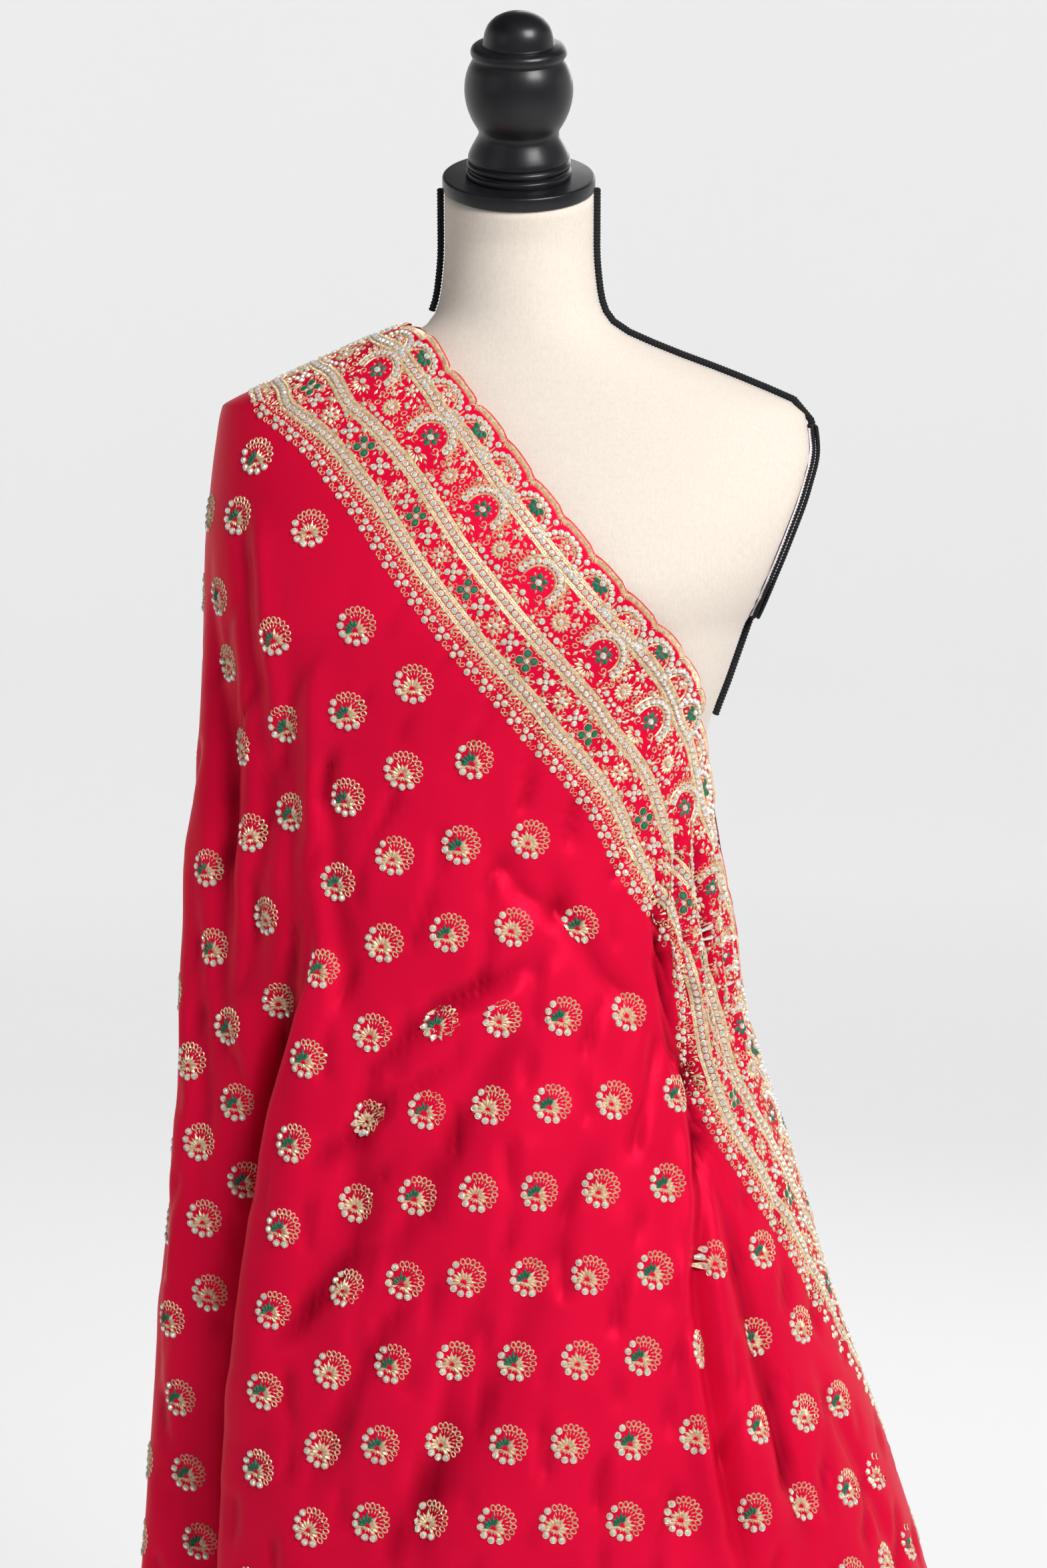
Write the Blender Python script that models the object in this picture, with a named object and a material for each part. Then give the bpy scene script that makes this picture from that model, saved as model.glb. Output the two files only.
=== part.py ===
"""A crimson satin sari with a scalloped border, draped over one shoulder of a linen dress form.

Metres, +Z up. The front faces -Y. The origin is the middle of the base's underside.
Angles go round the form in degrees: 0 right, 90 front, 180 left, 270 back.
"""

import math

import bmesh
import bpy
import numpy as np
from mathutils import Matrix, Vector

# Driving dimensions of the stand.
BASE_RADIUS = 0.190
BASE_EDGE = 0.012
BASE_CROWN = 0.026
BASE_SIDES = 40
POLE_SIDES = 16
POLE_RADIUS = 0.014
TORSO_FOOT = 0.790
SEAM_GAP = 0.0003

# Driving dimensions of the dress form's head end.
NECK_TOP = 1.516
NECK_LEAN = 20.0
NECK_SET_BACK = -0.006
CAP_RADIUS = 0.0494
CAP_THICK = 0.009
BRAID_RADIUS = 0.0023
LEFT_BRAID_FOOT = 1.440
SHOULDER_BRAID_FOOT = 1.374
SIDE_BRAID_FOOT = 1.170
PLATE_THICK = 0.002
PLATE_FOOT = 1.236
PLATE_TOP = 1.367
PLATE_BULGE = 0.018
PLATE_RINGS = (1.236, 1.275, 1.310, 1.338, 1.362)
PLATE_INSET = 0.005
PLATE_STATIONS = 11
FORM_SIDES = 36
NECK_STRAIGHT_TOP = 1.490
TIP_TUCK = 0.0015
HOOP_TUCK = 0.002
ABOVE_ALL = 2.0

# Profiles of the neck disc and the knob: radius, height.
CAP_PROFILE = [
    (CAP_RADIUS - 0.0010, 0.0),
    (CAP_RADIUS, 0.0010),
    (CAP_RADIUS, CAP_THICK - 0.0012),
    (CAP_RADIUS - 0.0014, CAP_THICK),
]
KNOB_PROFILE = [
    (0.0338, 0.0000), (0.0340, 0.0030), (0.0322, 0.0043), (0.0330, 0.0062), (0.0336, 0.0081),
    (0.0318, 0.0100), (0.0326, 0.0133), (0.0300, 0.0190), (0.0266, 0.0252), (0.0257, 0.0286),
    (0.0285, 0.0343), (0.0325, 0.0429), (0.0346, 0.0524), (0.0347, 0.0590), (0.0335, 0.0667),
    (0.0305, 0.0738), (0.0290, 0.0762), (0.0302, 0.0786), (0.0308, 0.0810), (0.0300, 0.0836),
    (0.0270, 0.0853), (0.0232, 0.0860), (0.0225, 0.0895), (0.0212, 0.0948), (0.0180, 0.1000),
    (0.0125, 0.1039), (0.0060, 0.1060), (0.0015, 0.1065),
]
CAP_SIDES = 40
KNOB_SIDES = 24
BASE_PROFILE = [
    (BASE_RADIUS - 0.002, 0.0),
    (BASE_RADIUS, 0.002),
    (BASE_RADIUS, BASE_EDGE - 0.003),
    (BASE_RADIUS - 0.004, BASE_EDGE),
    (0.120, 0.018),
    (0.050, 0.022),
    (0.030, BASE_CROWN),
]

# Driving dimensions of the sari.
CLOTH = 0.002
SCALLOP_PITCH = 0.031
SCALLOP_DEPTH = 0.0045
BORDER_WIDTH = 0.122
UNDERLAP_STEP = 0.010

# Rings of the dress form: height, half width, front depth, back depth.
FORM_RINGS = [
    (0.790, 0.155, 0.100, 0.118),
    (0.860, 0.163, 0.107, 0.124),
    (0.920, 0.153, 0.107, 0.113),
    (0.980, 0.134, 0.102, 0.096),
    (1.040, 0.119, 0.097, 0.085),
    (1.100, 0.117, 0.098, 0.083),
    (1.164, 0.124, 0.104, 0.087),
    (1.200, 0.136, 0.111, 0.092),
    (1.260, 0.157, 0.114, 0.100),
    (1.293, 0.170, 0.106, 0.102),
    (1.325, 0.182, 0.092, 0.099),
    (1.350, 0.188, 0.078, 0.090),
    (1.373, 0.1860, 0.065, 0.076),
    (1.382, 0.1690, 0.060, 0.069),
    (1.397, 0.133, 0.055, 0.061),
    (1.411, 0.096, 0.051, 0.056),
    (1.424, 0.067, 0.049, 0.053),
    (1.434, 0.0555, 0.048, 0.052),
    (1.450, 0.0505, 0.047, 0.051),
    (1.480, 0.0480, 0.046, 0.049),
    (1.530, 0.0480, 0.047, 0.048),
]

# How much squarer the drape is over the shoulder tip, between these heights.
TIP_SQUARE = 0.075
TIP_SQUARE_FOOT = 1.120
TIP_SQUARE_TOP = 1.260

# Rings of the sari's outer face: height, reach to the left, right, front and back.
SARI_RINGS = [
    (0.055, 0.300, 0.385, 0.272, 0.264),
    (0.400, 0.270, 0.326, 0.226, 0.215),
    (0.611, 0.250, 0.271, 0.190, 0.178),
    (0.699, 0.245, 0.242, 0.176, 0.165),
    (0.779, 0.240, 0.213, 0.163, 0.154),
    (0.849, 0.233, 0.192, 0.152, 0.146),
    (0.903, 0.229, 0.175, 0.144, 0.138),
    (0.963, 0.224, 0.155, 0.134, 0.126),
    (1.009, 0.222, 0.1465, 0.128, 0.117),
    (1.039, 0.2200, 0.1440, 0.125, 0.112),
    (1.072, 0.2195, 0.1380, 0.122, 0.108),
    (1.114, 0.2130, 0.1335, 0.119, 0.105),
    (1.169, 0.2080, 0.1325, 0.1205, 0.106),
    (1.202, 0.2070, 0.1490, 0.1225, 0.107),
    (1.231, 0.2064, 0.1650, 0.1235, 0.108),
    (1.283, 0.2050, 0.1900, 0.1170, 0.110),
    (1.325, 0.2010, 0.2040, 0.1025, 0.108),
    (1.355, 0.1971, 0.2070, 0.0885, 0.099),
    (1.376, 0.1930, 0.2020, 0.0775, 0.088),
    (1.3825, 0.1830, 0.1900, 0.0740, 0.083),
    (1.3914, 0.1625, 0.1600, 0.0695, 0.077),
    (1.411, 0.1196, 0.1040, 0.0625, 0.067),
    (1.428, 0.0780, 0.0700, 0.0585, 0.062),
    (1.433, 0.0600, 0.0600, 0.0570, 0.0605),
]

# The border from the shoulder ridge round the front: scalloped edge angle and height,
# inner line angle and height.
BORDER_SECTIONS = [
    (180.0, 1.4330, 180.0, 1.3840),
    (124.0, 1.4240, 157.0, 1.3690),
    (105.4, 1.4040, 139.0, 1.3460),
    (98.0, 1.3810, 123.0, 1.3050),
    (86.8, 1.3330, 108.5, 1.2510),
    (74.1, 1.2900, 95.1, 1.2070),
    (62.0, 1.2580, 82.8, 1.1680),
    (45.4, 1.2240, 73.5, 1.1310),
    (21.5, 1.1720, 63.7, 1.0980),
    (17.5, 1.1460, 58.7, 1.0710),
    (12.4, 1.1170, 55.7, 1.0530),
    (7.2, 1.0730, 51.8, 1.0330),
    (5.3, 1.0400, 49.6, 1.0130),
    (3.6, 1.0090, 48.4, 0.9960),
    (1.8, 0.9870, 47.5, 0.9790),
    (0.0, 0.9610, 46.6, 0.9570),
    (-3.0, 0.9380, 44.0, 0.9200),
    (-7.0, 0.9080, 34.9, 0.8710),
    (-13.0, 0.8680, 26.0, 0.8180),
    (-18.0, 0.8250, 20.0, 0.7670),
    (-26.0, 0.7750, 12.0, 0.7180),
    (-35.0, 0.7200, 0.0, 0.6640),
    (-52.0, 0.6170, -19.0, 0.5600),
    (-66.0, 0.5100, -36.0, 0.4540),
    (-84.0, 0.3750, -57.0, 0.3200),
    (-103.0, 0.2200, -79.0, 0.1700),
    (-115.0, 0.1350, -92.0, 0.0950),
]
BACK_SECTION_COUNT = 20

# Height of the hem by angle.
HEM = [
    (-140.0, 0.060),
    (60.0, 0.060),
    (90.0, 0.080),
    (115.0, 0.135),
    (140.0, 0.235),
    (165.0, 0.330),
    (182.0, 0.350),
    (200.0, 0.325),
    (225.0, 0.215),
    (250.0, 0.110),
    (275.0, 0.070),
    (300.0, 0.060),
    (400.0, 0.060),
]

# Where the front and the back stretch roll under over the left fall: height, angle, fold size.
ROLL_TOP = 1.345
FRONT_ROLL = [
    (0.060, 148.0, 1.00),
    (0.400, 146.0, 1.00),
    (0.633, 141.5, 1.00),
    (0.710, 139.7, 1.00),
    (0.788, 135.2, 1.00),
    (0.859, 133.3, 0.92),
    (0.930, 129.7, 0.70),
    (0.990, 124.5, 0.36),
    (1.041, 120.5, 0.10),
    (1.090, 121.5, 0.00),
    (1.200, 130.0, 0.00),
    (ROLL_TOP, 140.0, 0.00),
]
BACK_ROLL = [
    (0.060, 214.0, 0.90),
    (0.400, 216.0, 0.90),
    (0.620, 220.0, 0.80),
    (0.760, 224.0, 0.55),
    (0.880, 228.0, 0.20),
    (0.960, 229.0, 0.00),
    (1.200, 227.0, 0.00),
    (ROLL_TOP, 219.0, 0.00),
]
ROLL_ANGLE = 4.0
ROLL_LIP = 0.013
ROLL_DEPTH = 0.036
ROLL_RECOVER = 26.0
ROLL_SPREAD = 6.0
ROLL_SPREAD_FOOT = 0.990
ROLL_SPREAD_RISE = 0.200

# The largest soft folds: top angle and height, low angle and height, top and low width,
# top and low depth. A positive depth stands out, a negative one sinks in.
FOLDS = [
    (150.0, 1.290, 152.0, 0.880, 0.012, 0.018, -0.006, -0.012),
    (134.0, 1.180, 141.0, 0.960, 0.014, 0.020, -0.008, -0.010),
    (166.0, 1.260, 163.0, 0.700, 0.016, 0.022, 0.004, 0.008),
    (116.0, 1.060, 138.0, 0.700, 0.020, 0.026, 0.006, 0.010),
    (74.0, 1.010, 118.0, 0.800, 0.016, 0.022, -0.004, -0.007),
    (62.0, 0.950, 112.0, 0.640, 0.018, 0.026, -0.004, -0.008),
    (41.0, 0.930, 44.0, 0.640, 0.007, 0.010, -0.005, -0.007),
    (47.0, 0.930, 52.0, 0.620, 0.010, 0.014, 0.003, 0.005),
    (12.0, 1.130, 9.0, 0.930, 0.006, 0.006, -0.003, -0.004),
    (21.0, 1.120, 17.0, 0.920, 0.006, 0.006, 0.003, 0.004),
    (29.0, 1.110, 25.0, 0.910, 0.006, 0.006, -0.003, -0.004),
    (37.0, 1.090, 33.0, 0.920, 0.006, 0.006, 0.003, 0.004),
    (45.0, 1.080, 41.0, 0.930, 0.006, 0.007, -0.004, -0.004),
    (166.0, 0.900, 170.0, 0.060, 0.018, 0.030, 0.000, 0.019),
    (157.0, 0.800, 159.0, 0.060, 0.016, 0.024, 0.000, -0.019),
    (124.0, 0.760, 132.0, 0.060, 0.022, 0.034, 0.000, 0.030),
    (110.0, 0.700, 117.0, 0.060, 0.022, 0.030, 0.000, -0.032),
    (96.0, 0.720, 101.0, 0.060, 0.022, 0.034, 0.000, 0.027),
    (80.0, 0.660, 84.0, 0.060, 0.022, 0.030, 0.000, -0.035),
    (65.0, 0.700, 68.0, 0.060, 0.022, 0.034, 0.000, 0.030),
    (52.0, 0.620, 52.0, 0.060, 0.020, 0.030, 0.000, -0.032),
    (34.0, 0.700, 36.0, 0.060, 0.022, 0.034, 0.000, 0.027),
    (20.0, 0.600, 20.0, 0.060, 0.020, 0.030, 0.000, -0.030),
    (4.0, 0.600, 4.0, 0.060, 0.022, 0.034, 0.000, 0.024),
    (-14.0, 0.520, -12.0, 0.060, 0.020, 0.030, 0.000, -0.027),
    (-30.0, 0.500, -28.0, 0.060, 0.022, 0.032, 0.000, 0.024),
    (-48.0, 0.420, -46.0, 0.060, 0.020, 0.030, 0.000, -0.024),
    (-64.0, 0.360, -63.0, 0.060, 0.022, 0.030, 0.000, 0.019),
    (208.0, 1.280, 206.0, 0.840, 0.014, 0.020, -0.006, -0.010),
    (196.0, 1.240, 197.0, 0.700, 0.016, 0.022, 0.003, 0.007),
    (194.0, 0.760, 192.0, 0.060, 0.018, 0.028, 0.000, -0.016),
    (240.0, 1.000, 232.0, 0.660, 0.020, 0.026, 0.005, 0.009),
    (296.0, 1.000, 246.0, 0.700, 0.016, 0.024, -0.004, -0.008),
    (300.0, 0.930, 256.0, 0.600, 0.018, 0.024, -0.004, -0.007),
    (246.0, 0.700, 232.0, 0.060, 0.022, 0.034, 0.000, 0.027),
    (258.0, 0.660, 246.0, 0.060, 0.022, 0.030, 0.000, -0.030),
    (272.0, 0.700, 262.0, 0.060, 0.022, 0.034, 0.000, 0.024),
    (290.0, 0.760, 276.0, 0.200, 0.020, 0.028, 0.000, -0.019),
]
FOLD_FADE = 0.22

# The back stretch ends under the front one: height, angle.
BACK_END = [
    (0.055, 254.0),
    (0.200, 276.0),
    (0.375, 298.0),
    (0.510, 315.0),
    (0.617, 328.0),
    (0.762, 340.0),
]
UNDERLAP_START = 0.040
UNDERLAP_RUN = 0.032
UNDERLAP_TOP = 1.060
UNDERLAP_RISE = 0.060
BEHIND_ANGLE = 250.0
WAIST_TOP = 1.170
WAIST_FOOT = 0.930

# Grids of the cloth.
FIELD_ROWS = 15
FIELD_ROW_BIAS = 1.5
SUB_COLUMNS = 3
STRIP_ROWS = 4
WAIST_ROWS = 12
ROLL_STATIONS = 1
SETTLE_COLUMNS = 24
SETTLE_SHORT = 0.30
SPLIT_GAP = 0.0005
SIDE_SPLIT_ROW = 10
SIDE_SPLIT_ANGLE = 48.0

# Colours, roughness and metallic value of each material.
CRIMSON = ((0.60, 0.010, 0.035, 1.0), 0.38, 0.0)
GOLD_WORK = ((0.62, 0.36, 0.22, 1.0), 0.45, 0.3)
LINEN = ((0.86, 0.78, 0.70, 1.0), 0.90, 0.0)
BLACK_LACQUER = ((0.012, 0.012, 0.014, 1.0), 0.22, 0.0)
BLACK_CORD = ((0.015, 0.015, 0.018, 1.0), 0.80, 0.0)


def clear_scene():
    """Remove every object of the open scene."""
    for obj in list(bpy.data.objects):
        bpy.data.objects.remove(obj, do_unlink=True)


def material(name, look):
    """A Principled material with one colour, roughness and metallic value."""
    colour, roughness, metallic = look
    made = bpy.data.materials.get(name) or bpy.data.materials.new(name)
    made.use_nodes = True
    shader = made.node_tree.nodes["Principled BSDF"]
    shader.inputs["Base Color"].default_value = colour
    shader.inputs["Roughness"].default_value = roughness
    shader.inputs["Metallic"].default_value = metallic
    return made


def add_object(name, points, faces, look):
    """One object from points and faces."""
    mesh = bpy.data.meshes.new(name)
    mesh.from_pydata([tuple(p) for p in points], [], faces)
    mesh.update()
    mesh.shade_smooth()
    mesh.set_sharp_from_angle(angle=math.radians(40))
    mesh.materials.append(material(*look))
    obj = bpy.data.objects.new(name, mesh)
    bpy.context.scene.collection.objects.link(obj)
    return obj


def table_value(rows, column, at):
    """A column of a table at given values of its first column, smooth and with no overshoot."""
    table = np.array(sorted(rows), float)
    key, value = table[:, 0], table[:, column]
    step = np.diff(key)
    slope = np.diff(value) / step
    tangent = np.zeros(len(key))
    tangent[0], tangent[-1] = slope[0], slope[-1]
    before, after = slope[:-1], slope[1:]
    same_way = before * after > 0
    tangent[1:-1][same_way] = 2 * before[same_way] * after[same_way] / (before + after)[same_way]
    at = np.clip(np.asarray(at, float), key[0], key[-1])
    i = np.clip(np.searchsorted(key, at, side="right") - 1, 0, len(step) - 1)
    t = (at - key[i]) / step[i]
    rise = (2 * t**3 - 3 * t**2 + 1) * value[i] + (3 * t**2 - 2 * t**3) * value[i + 1]
    bend = (t**3 - 2 * t**2 + t) * tangent[i] + (t**3 - t**2) * tangent[i + 1]
    return rise + bend * step[i]


def ease(t):
    """Smooth step from 0 to 1."""
    t = np.clip(t, 0.0, 1.0)
    return t * t * (3 - 2 * t)


def grid_normals(outer):
    """Outward directions at the points of a grid whose rows go down and columns go round."""
    normal = np.cross(np.gradient(outer, axis=0), np.gradient(outer, axis=1))
    return normal / np.linalg.norm(normal, axis=2, keepdims=True)


def grid_wall(name, outer, normal, look, thickness=CLOTH):
    """A closed wall from a grid of outer points, thickened towards the inside."""
    rows, columns = outer.shape[:2]
    inner = outer - normal * thickness
    points = np.vstack([outer.reshape(-1, 3), inner.reshape(-1, 3)])
    behind = rows * columns

    def at(row, column, side=0):
        return side * behind + row * columns + column

    faces = []
    for r in range(rows - 1):
        for c in range(columns - 1):
            faces.append((at(r, c), at(r + 1, c), at(r + 1, c + 1), at(r, c + 1)))
            faces.append((at(r, c, 1), at(r, c + 1, 1), at(r + 1, c + 1, 1), at(r + 1, c, 1)))
    for c in range(columns - 1):
        faces.append((at(0, c), at(0, c + 1), at(0, c + 1, 1), at(0, c, 1)))
        last = rows - 1
        faces.append((at(last, c), at(last, c, 1), at(last, c + 1, 1), at(last, c + 1)))
    for r in range(rows - 1):
        faces.append((at(r + 1, 0), at(r, 0), at(r, 0, 1), at(r + 1, 0, 1)))
        last = columns - 1
        faces.append((at(r + 1, last), at(r + 1, last, 1), at(r, last, 1), at(r, last)))
    return add_object(name, points, faces, look)


def ring_loft(name, rings, look):
    """A closed solid lofted through rings of equal count, capped flat at both ends."""
    count = len(rings[0])
    points = np.vstack(rings)
    faces = [tuple(range(count))[::-1]]
    for r in range(len(rings) - 1):
        for c in range(count):
            n = (c + 1) % count
            faces.append((r * count + c, r * count + n, (r + 1) * count + n, (r + 1) * count + c))
    top = (len(rings) - 1) * count
    faces.append(tuple(range(top, top + count)))
    return add_object(name, points, faces, look)


def turned(name, profile, look, sides, place=None):
    """A turned solid from (radius, height) pairs, foot to top, with flat ends."""
    turn = np.linspace(0, 2 * math.pi, sides, endpoint=False)
    rings = [
        np.column_stack([r * np.cos(turn), r * np.sin(turn), np.full(sides, h)])
        for r, h in profile
    ]
    obj = ring_loft(name, rings, look)
    if place is not None:
        obj.data.transform(place)
    return obj


def cord(name, route, radius, look, closed=False):
    """A round braid along a route."""
    curve = bpy.data.curves.new(name, "CURVE")
    curve.dimensions = "3D"
    curve.bevel_depth = radius
    curve.bevel_resolution = 2
    curve.use_fill_caps = not closed
    spline = curve.splines.new("POLY")
    spline.points.add(len(route) - 1)
    for point, place in zip(spline.points, route):
        point.co = (*place, 1.0)
    spline.use_cyclic_u = closed
    curve.materials.append(material(*look))
    obj = bpy.data.objects.new(name, curve)
    bpy.context.scene.collection.objects.link(obj)
    return obj


def form_outline(height):
    """Half width of the form as seen from the front."""
    return table_value(FORM_RINGS, 1, height)


def plate_bulge(height):
    """How far the full ring would stand out past the flat armhole plate."""
    t = (height - PLATE_FOOT) / (PLATE_TOP - PLATE_FOOT)
    return np.where((t > 0) & (t < 1), PLATE_BULGE * np.sin(math.pi * np.clip(t, 0, 1)) ** 0.8, 0.0)


def form_point(angle, height):
    """Point of the form's surface, flattened where the armhole plates sit."""
    outline = form_outline(height)
    full = outline + plate_bulge(height)
    x = np.clip(full * np.cos(angle), -outline, outline)
    deep = np.where(np.sin(angle) < 0, table_value(FORM_RINGS, 2, height), table_value(FORM_RINGS, 3, height))
    return np.stack([x, deep * np.sin(angle), np.broadcast_to(height, np.shape(x))], axis=-1)


def build_form():
    """Linen torso, armhole plates, braids, cap, knob, pole and base."""
    linen = ("linen_cover", LINEN)
    black = ("black_lacquer", BLACK_LACQUER)
    braid = ("black_braid", BLACK_CORD)
    turn = np.linspace(0, 2 * math.pi, FORM_SIDES, endpoint=False)
    heights = sorted({row[0] for row in FORM_RINGS if row[0] < NECK_STRAIGHT_TOP} | set(PLATE_RINGS))
    rings = [form_point(turn, np.full(FORM_SIDES, h)) for h in heights]
    lean = Matrix.Translation((0, NECK_SET_BACK, NECK_TOP)) @ Matrix.Rotation(
        math.radians(NECK_LEAN), 4, "X"
    )
    neck_half = form_outline(NECK_TOP)
    top = np.array([lean @ Vector((neck_half * math.cos(a), neck_half * math.sin(a), 0)) for a in turn])
    rings.append(top)
    ring_loft("form_torso", rings, linen)

    plate_heights = np.linspace(PLATE_FOOT + PLATE_INSET, PLATE_TOP - PLATE_INSET, PLATE_STATIONS)
    for side, word in ((1, "right"), (-1, "left")):
        edge = []
        for way in (1, -1):
            for h in plate_heights[::way]:
                full = form_outline(h) + plate_bulge(h)
                reach = math.sqrt(max(0.0, 1 - (form_outline(h) / full) ** 2))
                deep = table_value(FORM_RINGS, 3 if way > 0 else 2, h)
                edge.append((form_outline(h), way * deep * reach, h))
        edge = np.array(edge)
        low = edge + (SEAM_GAP, 0, 0)
        high = edge + (SEAM_GAP + PLATE_THICK, 0, 0)
        count = len(edge)
        points = np.vstack([low, high]) * (side, 1, 1)
        faces = []
        half = count // 2
        for i in range(half - 1):
            j = count - 1 - i
            faces.append((i, i + 1, j - 1, j))
            faces.append((count + i, count + j, count + j - 1, count + i + 1))
        for i in range(count):
            n = (i + 1) % count
            faces.append((i, count + i, count + n, n))
        if side < 0:
            faces = [face[::-1] for face in faces]
        plate = add_object(f"arm_plate_{word}", points, faces, linen)
        fix_normals(plate)

    right = [ring[0] for ring in rings]
    left = [ring[FORM_SIDES // 2] for ring in rings]
    cord("braid_neck_left", beside(left, LEFT_BRAID_FOOT, ABOVE_ALL, -1), BRAID_RADIUS, braid)
    hoop_out = PLATE_THICK + 2 * SEAM_GAP + BRAID_RADIUS
    hoop = []
    for way in (1, -1):
        for h in plate_heights[::way]:
            full = form_outline(h) + plate_bulge(h)
            reach = math.sqrt(max(0.0, 1 - (form_outline(h) / full) ** 2))
            deep = table_value(FORM_RINGS, 3 if way > 0 else 2, h)
            hoop.append((form_outline(h) + hoop_out, way * (deep * reach - HOOP_TUCK), h))
    cord("braid_armhole", hoop, BRAID_RADIUS, braid, closed=True)
    apart = 2 * BRAID_RADIUS + SEAM_GAP
    tip = (form_outline(PLATE_TOP) + hoop_out - TIP_TUCK, 0.0, plate_heights[-1] + apart)
    seam = [tip] + beside(right, SHOULDER_BRAID_FOOT, ABOVE_ALL, 1)
    cord("braid_neck_shoulder", seam, BRAID_RADIUS, braid)
    foot = (form_outline(PLATE_FOOT) + hoop_out, 0.0, plate_heights[0] - apart)
    side = beside(right, SIDE_BRAID_FOOT, PLATE_FOOT - apart, 1) + [foot]
    cord("braid_side_right", side, BRAID_RADIUS, braid)

    seat = lean @ Matrix.Translation((0, 0, SEAM_GAP))
    turned("neck_cap", CAP_PROFILE, black, CAP_SIDES, seat)
    knob_seat = seat @ Matrix.Translation((0, 0, CAP_THICK + SEAM_GAP))
    turned("finial", KNOB_PROFILE, black, KNOB_SIDES, knob_seat)

    turned("base", BASE_PROFILE, black, BASE_SIDES)
    pole = [(POLE_RADIUS, BASE_CROWN + SEAM_GAP), (POLE_RADIUS, TORSO_FOOT - SEAM_GAP)]
    turned("pole", pole, black, POLE_SIDES)


def beside(line, low, high, side):
    """A braid's route that lies just outside an outline, between two heights."""
    line = np.array(line)
    stand_off = BRAID_RADIUS + 2 * SEAM_GAP
    along = np.gradient(line, axis=0)
    out = np.column_stack([side * along[:, 2], np.zeros(len(line)), -side * along[:, 0]])
    out /= np.linalg.norm(out, axis=1, keepdims=True)
    route = line + out * stand_off
    keep = (route[:, 2] >= low) & (route[:, 2] <= high)
    return [tuple(p) for p in route[keep]]


def fix_normals(obj):
    """Turn a closed mesh's faces outwards."""
    shape = bmesh.new()
    shape.from_mesh(obj.data)
    bmesh.ops.recalc_face_normals(shape, faces=shape.faces)
    shape.to_mesh(obj.data)
    shape.free()


def sari_ring(angle, height):
    """Plain drape of the sari's outer face before folds; angle in degrees."""
    left, right, front, back = (table_value(SARI_RINGS, k, height) for k in (1, 2, 3, 4))
    turn = np.radians(angle)
    square = ease((height - TIP_SQUARE_FOOT) / (TIP_SQUARE_TOP - TIP_SQUARE_FOOT))
    square = 1 + TIP_SQUARE * square * np.sin(2 * turn) ** 2 * (np.cos(turn) < 0)
    x = (right - left) / 2 + (right + left) / 2 * np.cos(turn) * square
    y = -np.where(np.sin(turn) >= 0, front, back) * np.sin(turn) * square
    return np.stack([x, y, np.broadcast_to(height, np.shape(x))], axis=-1)


def arc_per_degree(angle, height):
    """Metres of ring for one degree at a point of the drape."""
    step = 0.5
    across = sari_ring(angle + step, height) - sari_ring(angle - step, height)
    return np.linalg.norm(across, axis=-1) / (2 * step)


def fold_height(angle, height):
    """How far the soft folds lift the cloth at a point of the drape."""
    scale = arc_per_degree(angle, height)
    total = np.zeros(np.shape(height))
    for top_angle, top, low_angle, low, wide_top, wide_low, deep_top, deep_low in FOLDS:
        t = (top - height) / (top - low)
        line = top_angle + (low_angle - top_angle) * np.clip(t, 0, 1)
        width = wide_top + (wide_low - wide_top) * np.clip(t, 0, 1)
        depth = deep_top + (deep_low - deep_top) * np.clip(t, 0, 1)
        end = 1.0 if low <= 0.2 else ease((1 - t) / FOLD_FADE)
        total += depth * ease(t / FOLD_FADE) * end * np.exp(-(((angle - line) * scale / width) ** 2))
    return total


def roll(angle, height, rows, way):
    """Sideways and outward move where a stretch rolls under at the left fall."""
    line = table_value(rows, 1, height)
    size = table_value(rows, 2, height)
    phase = way * (angle - line) / ROLL_ANGLE + 0.5
    inside = (phase > 0) & (phase < 1)
    sideways = np.where(inside, way * ROLL_LIP * np.sin(2 * math.pi * phase), 0.0)
    past = (phase - 1) * ROLL_ANGLE / ROLL_RECOVER
    sink = -ROLL_DEPTH * ease(phase) * (1 - ease(past))
    return sideways * size**1.5, sink * size


def draped(angle, height, under_front=False):
    """Point of the sari's outer face, folds and rolled edges included."""
    angle = np.asarray(angle, float)
    height = np.asarray(height, float)
    lift = fold_height(angle, height)
    if under_front:
        covered = under_share(angle, height)
        lift = lift * (1 - covered) + covered * (fold_height(angle - 360, height) - UNDERLAP_STEP)
    front_side, front_sink = roll(angle, height, FRONT_ROLL, 1)
    back_side, back_sink = roll(angle, height, BACK_ROLL, -1)
    point = sari_ring(angle, height)
    small = 0.0015
    around = sari_ring(angle + 0.3, height) - sari_ring(angle - 0.3, height)
    up = sari_ring(angle, height + small) - sari_ring(angle, height - small)
    normal = np.cross(up, around)
    normal /= np.linalg.norm(normal, axis=-1, keepdims=True)
    around /= np.linalg.norm(around, axis=-1, keepdims=True)
    out = (lift + front_sink + back_sink)[..., None]
    side = (front_side + back_side)[..., None]
    return point + normal * out + around * side


def under_share(angle, height):
    """How fully the back stretch lies under the front one, 0 to 1."""
    edge = table_value([(row[1], row[0]) for row in BORDER_SECTIONS], 1, height) + 360
    reach = (angle - edge) * arc_per_degree(angle, height)
    return ease((reach + UNDERLAP_START) / UNDERLAP_RUN) * ease((UNDERLAP_TOP - height) / UNDERLAP_RISE)


def section_value(place, column, mirrored):
    """A border section's value at a fractional section number."""
    rows = [(i, *row) for i, row in enumerate(BORDER_SECTIONS)]
    value = table_value(rows, column, place)
    if mirrored and column in (1, 3):
        return 360 - value
    return value


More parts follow.
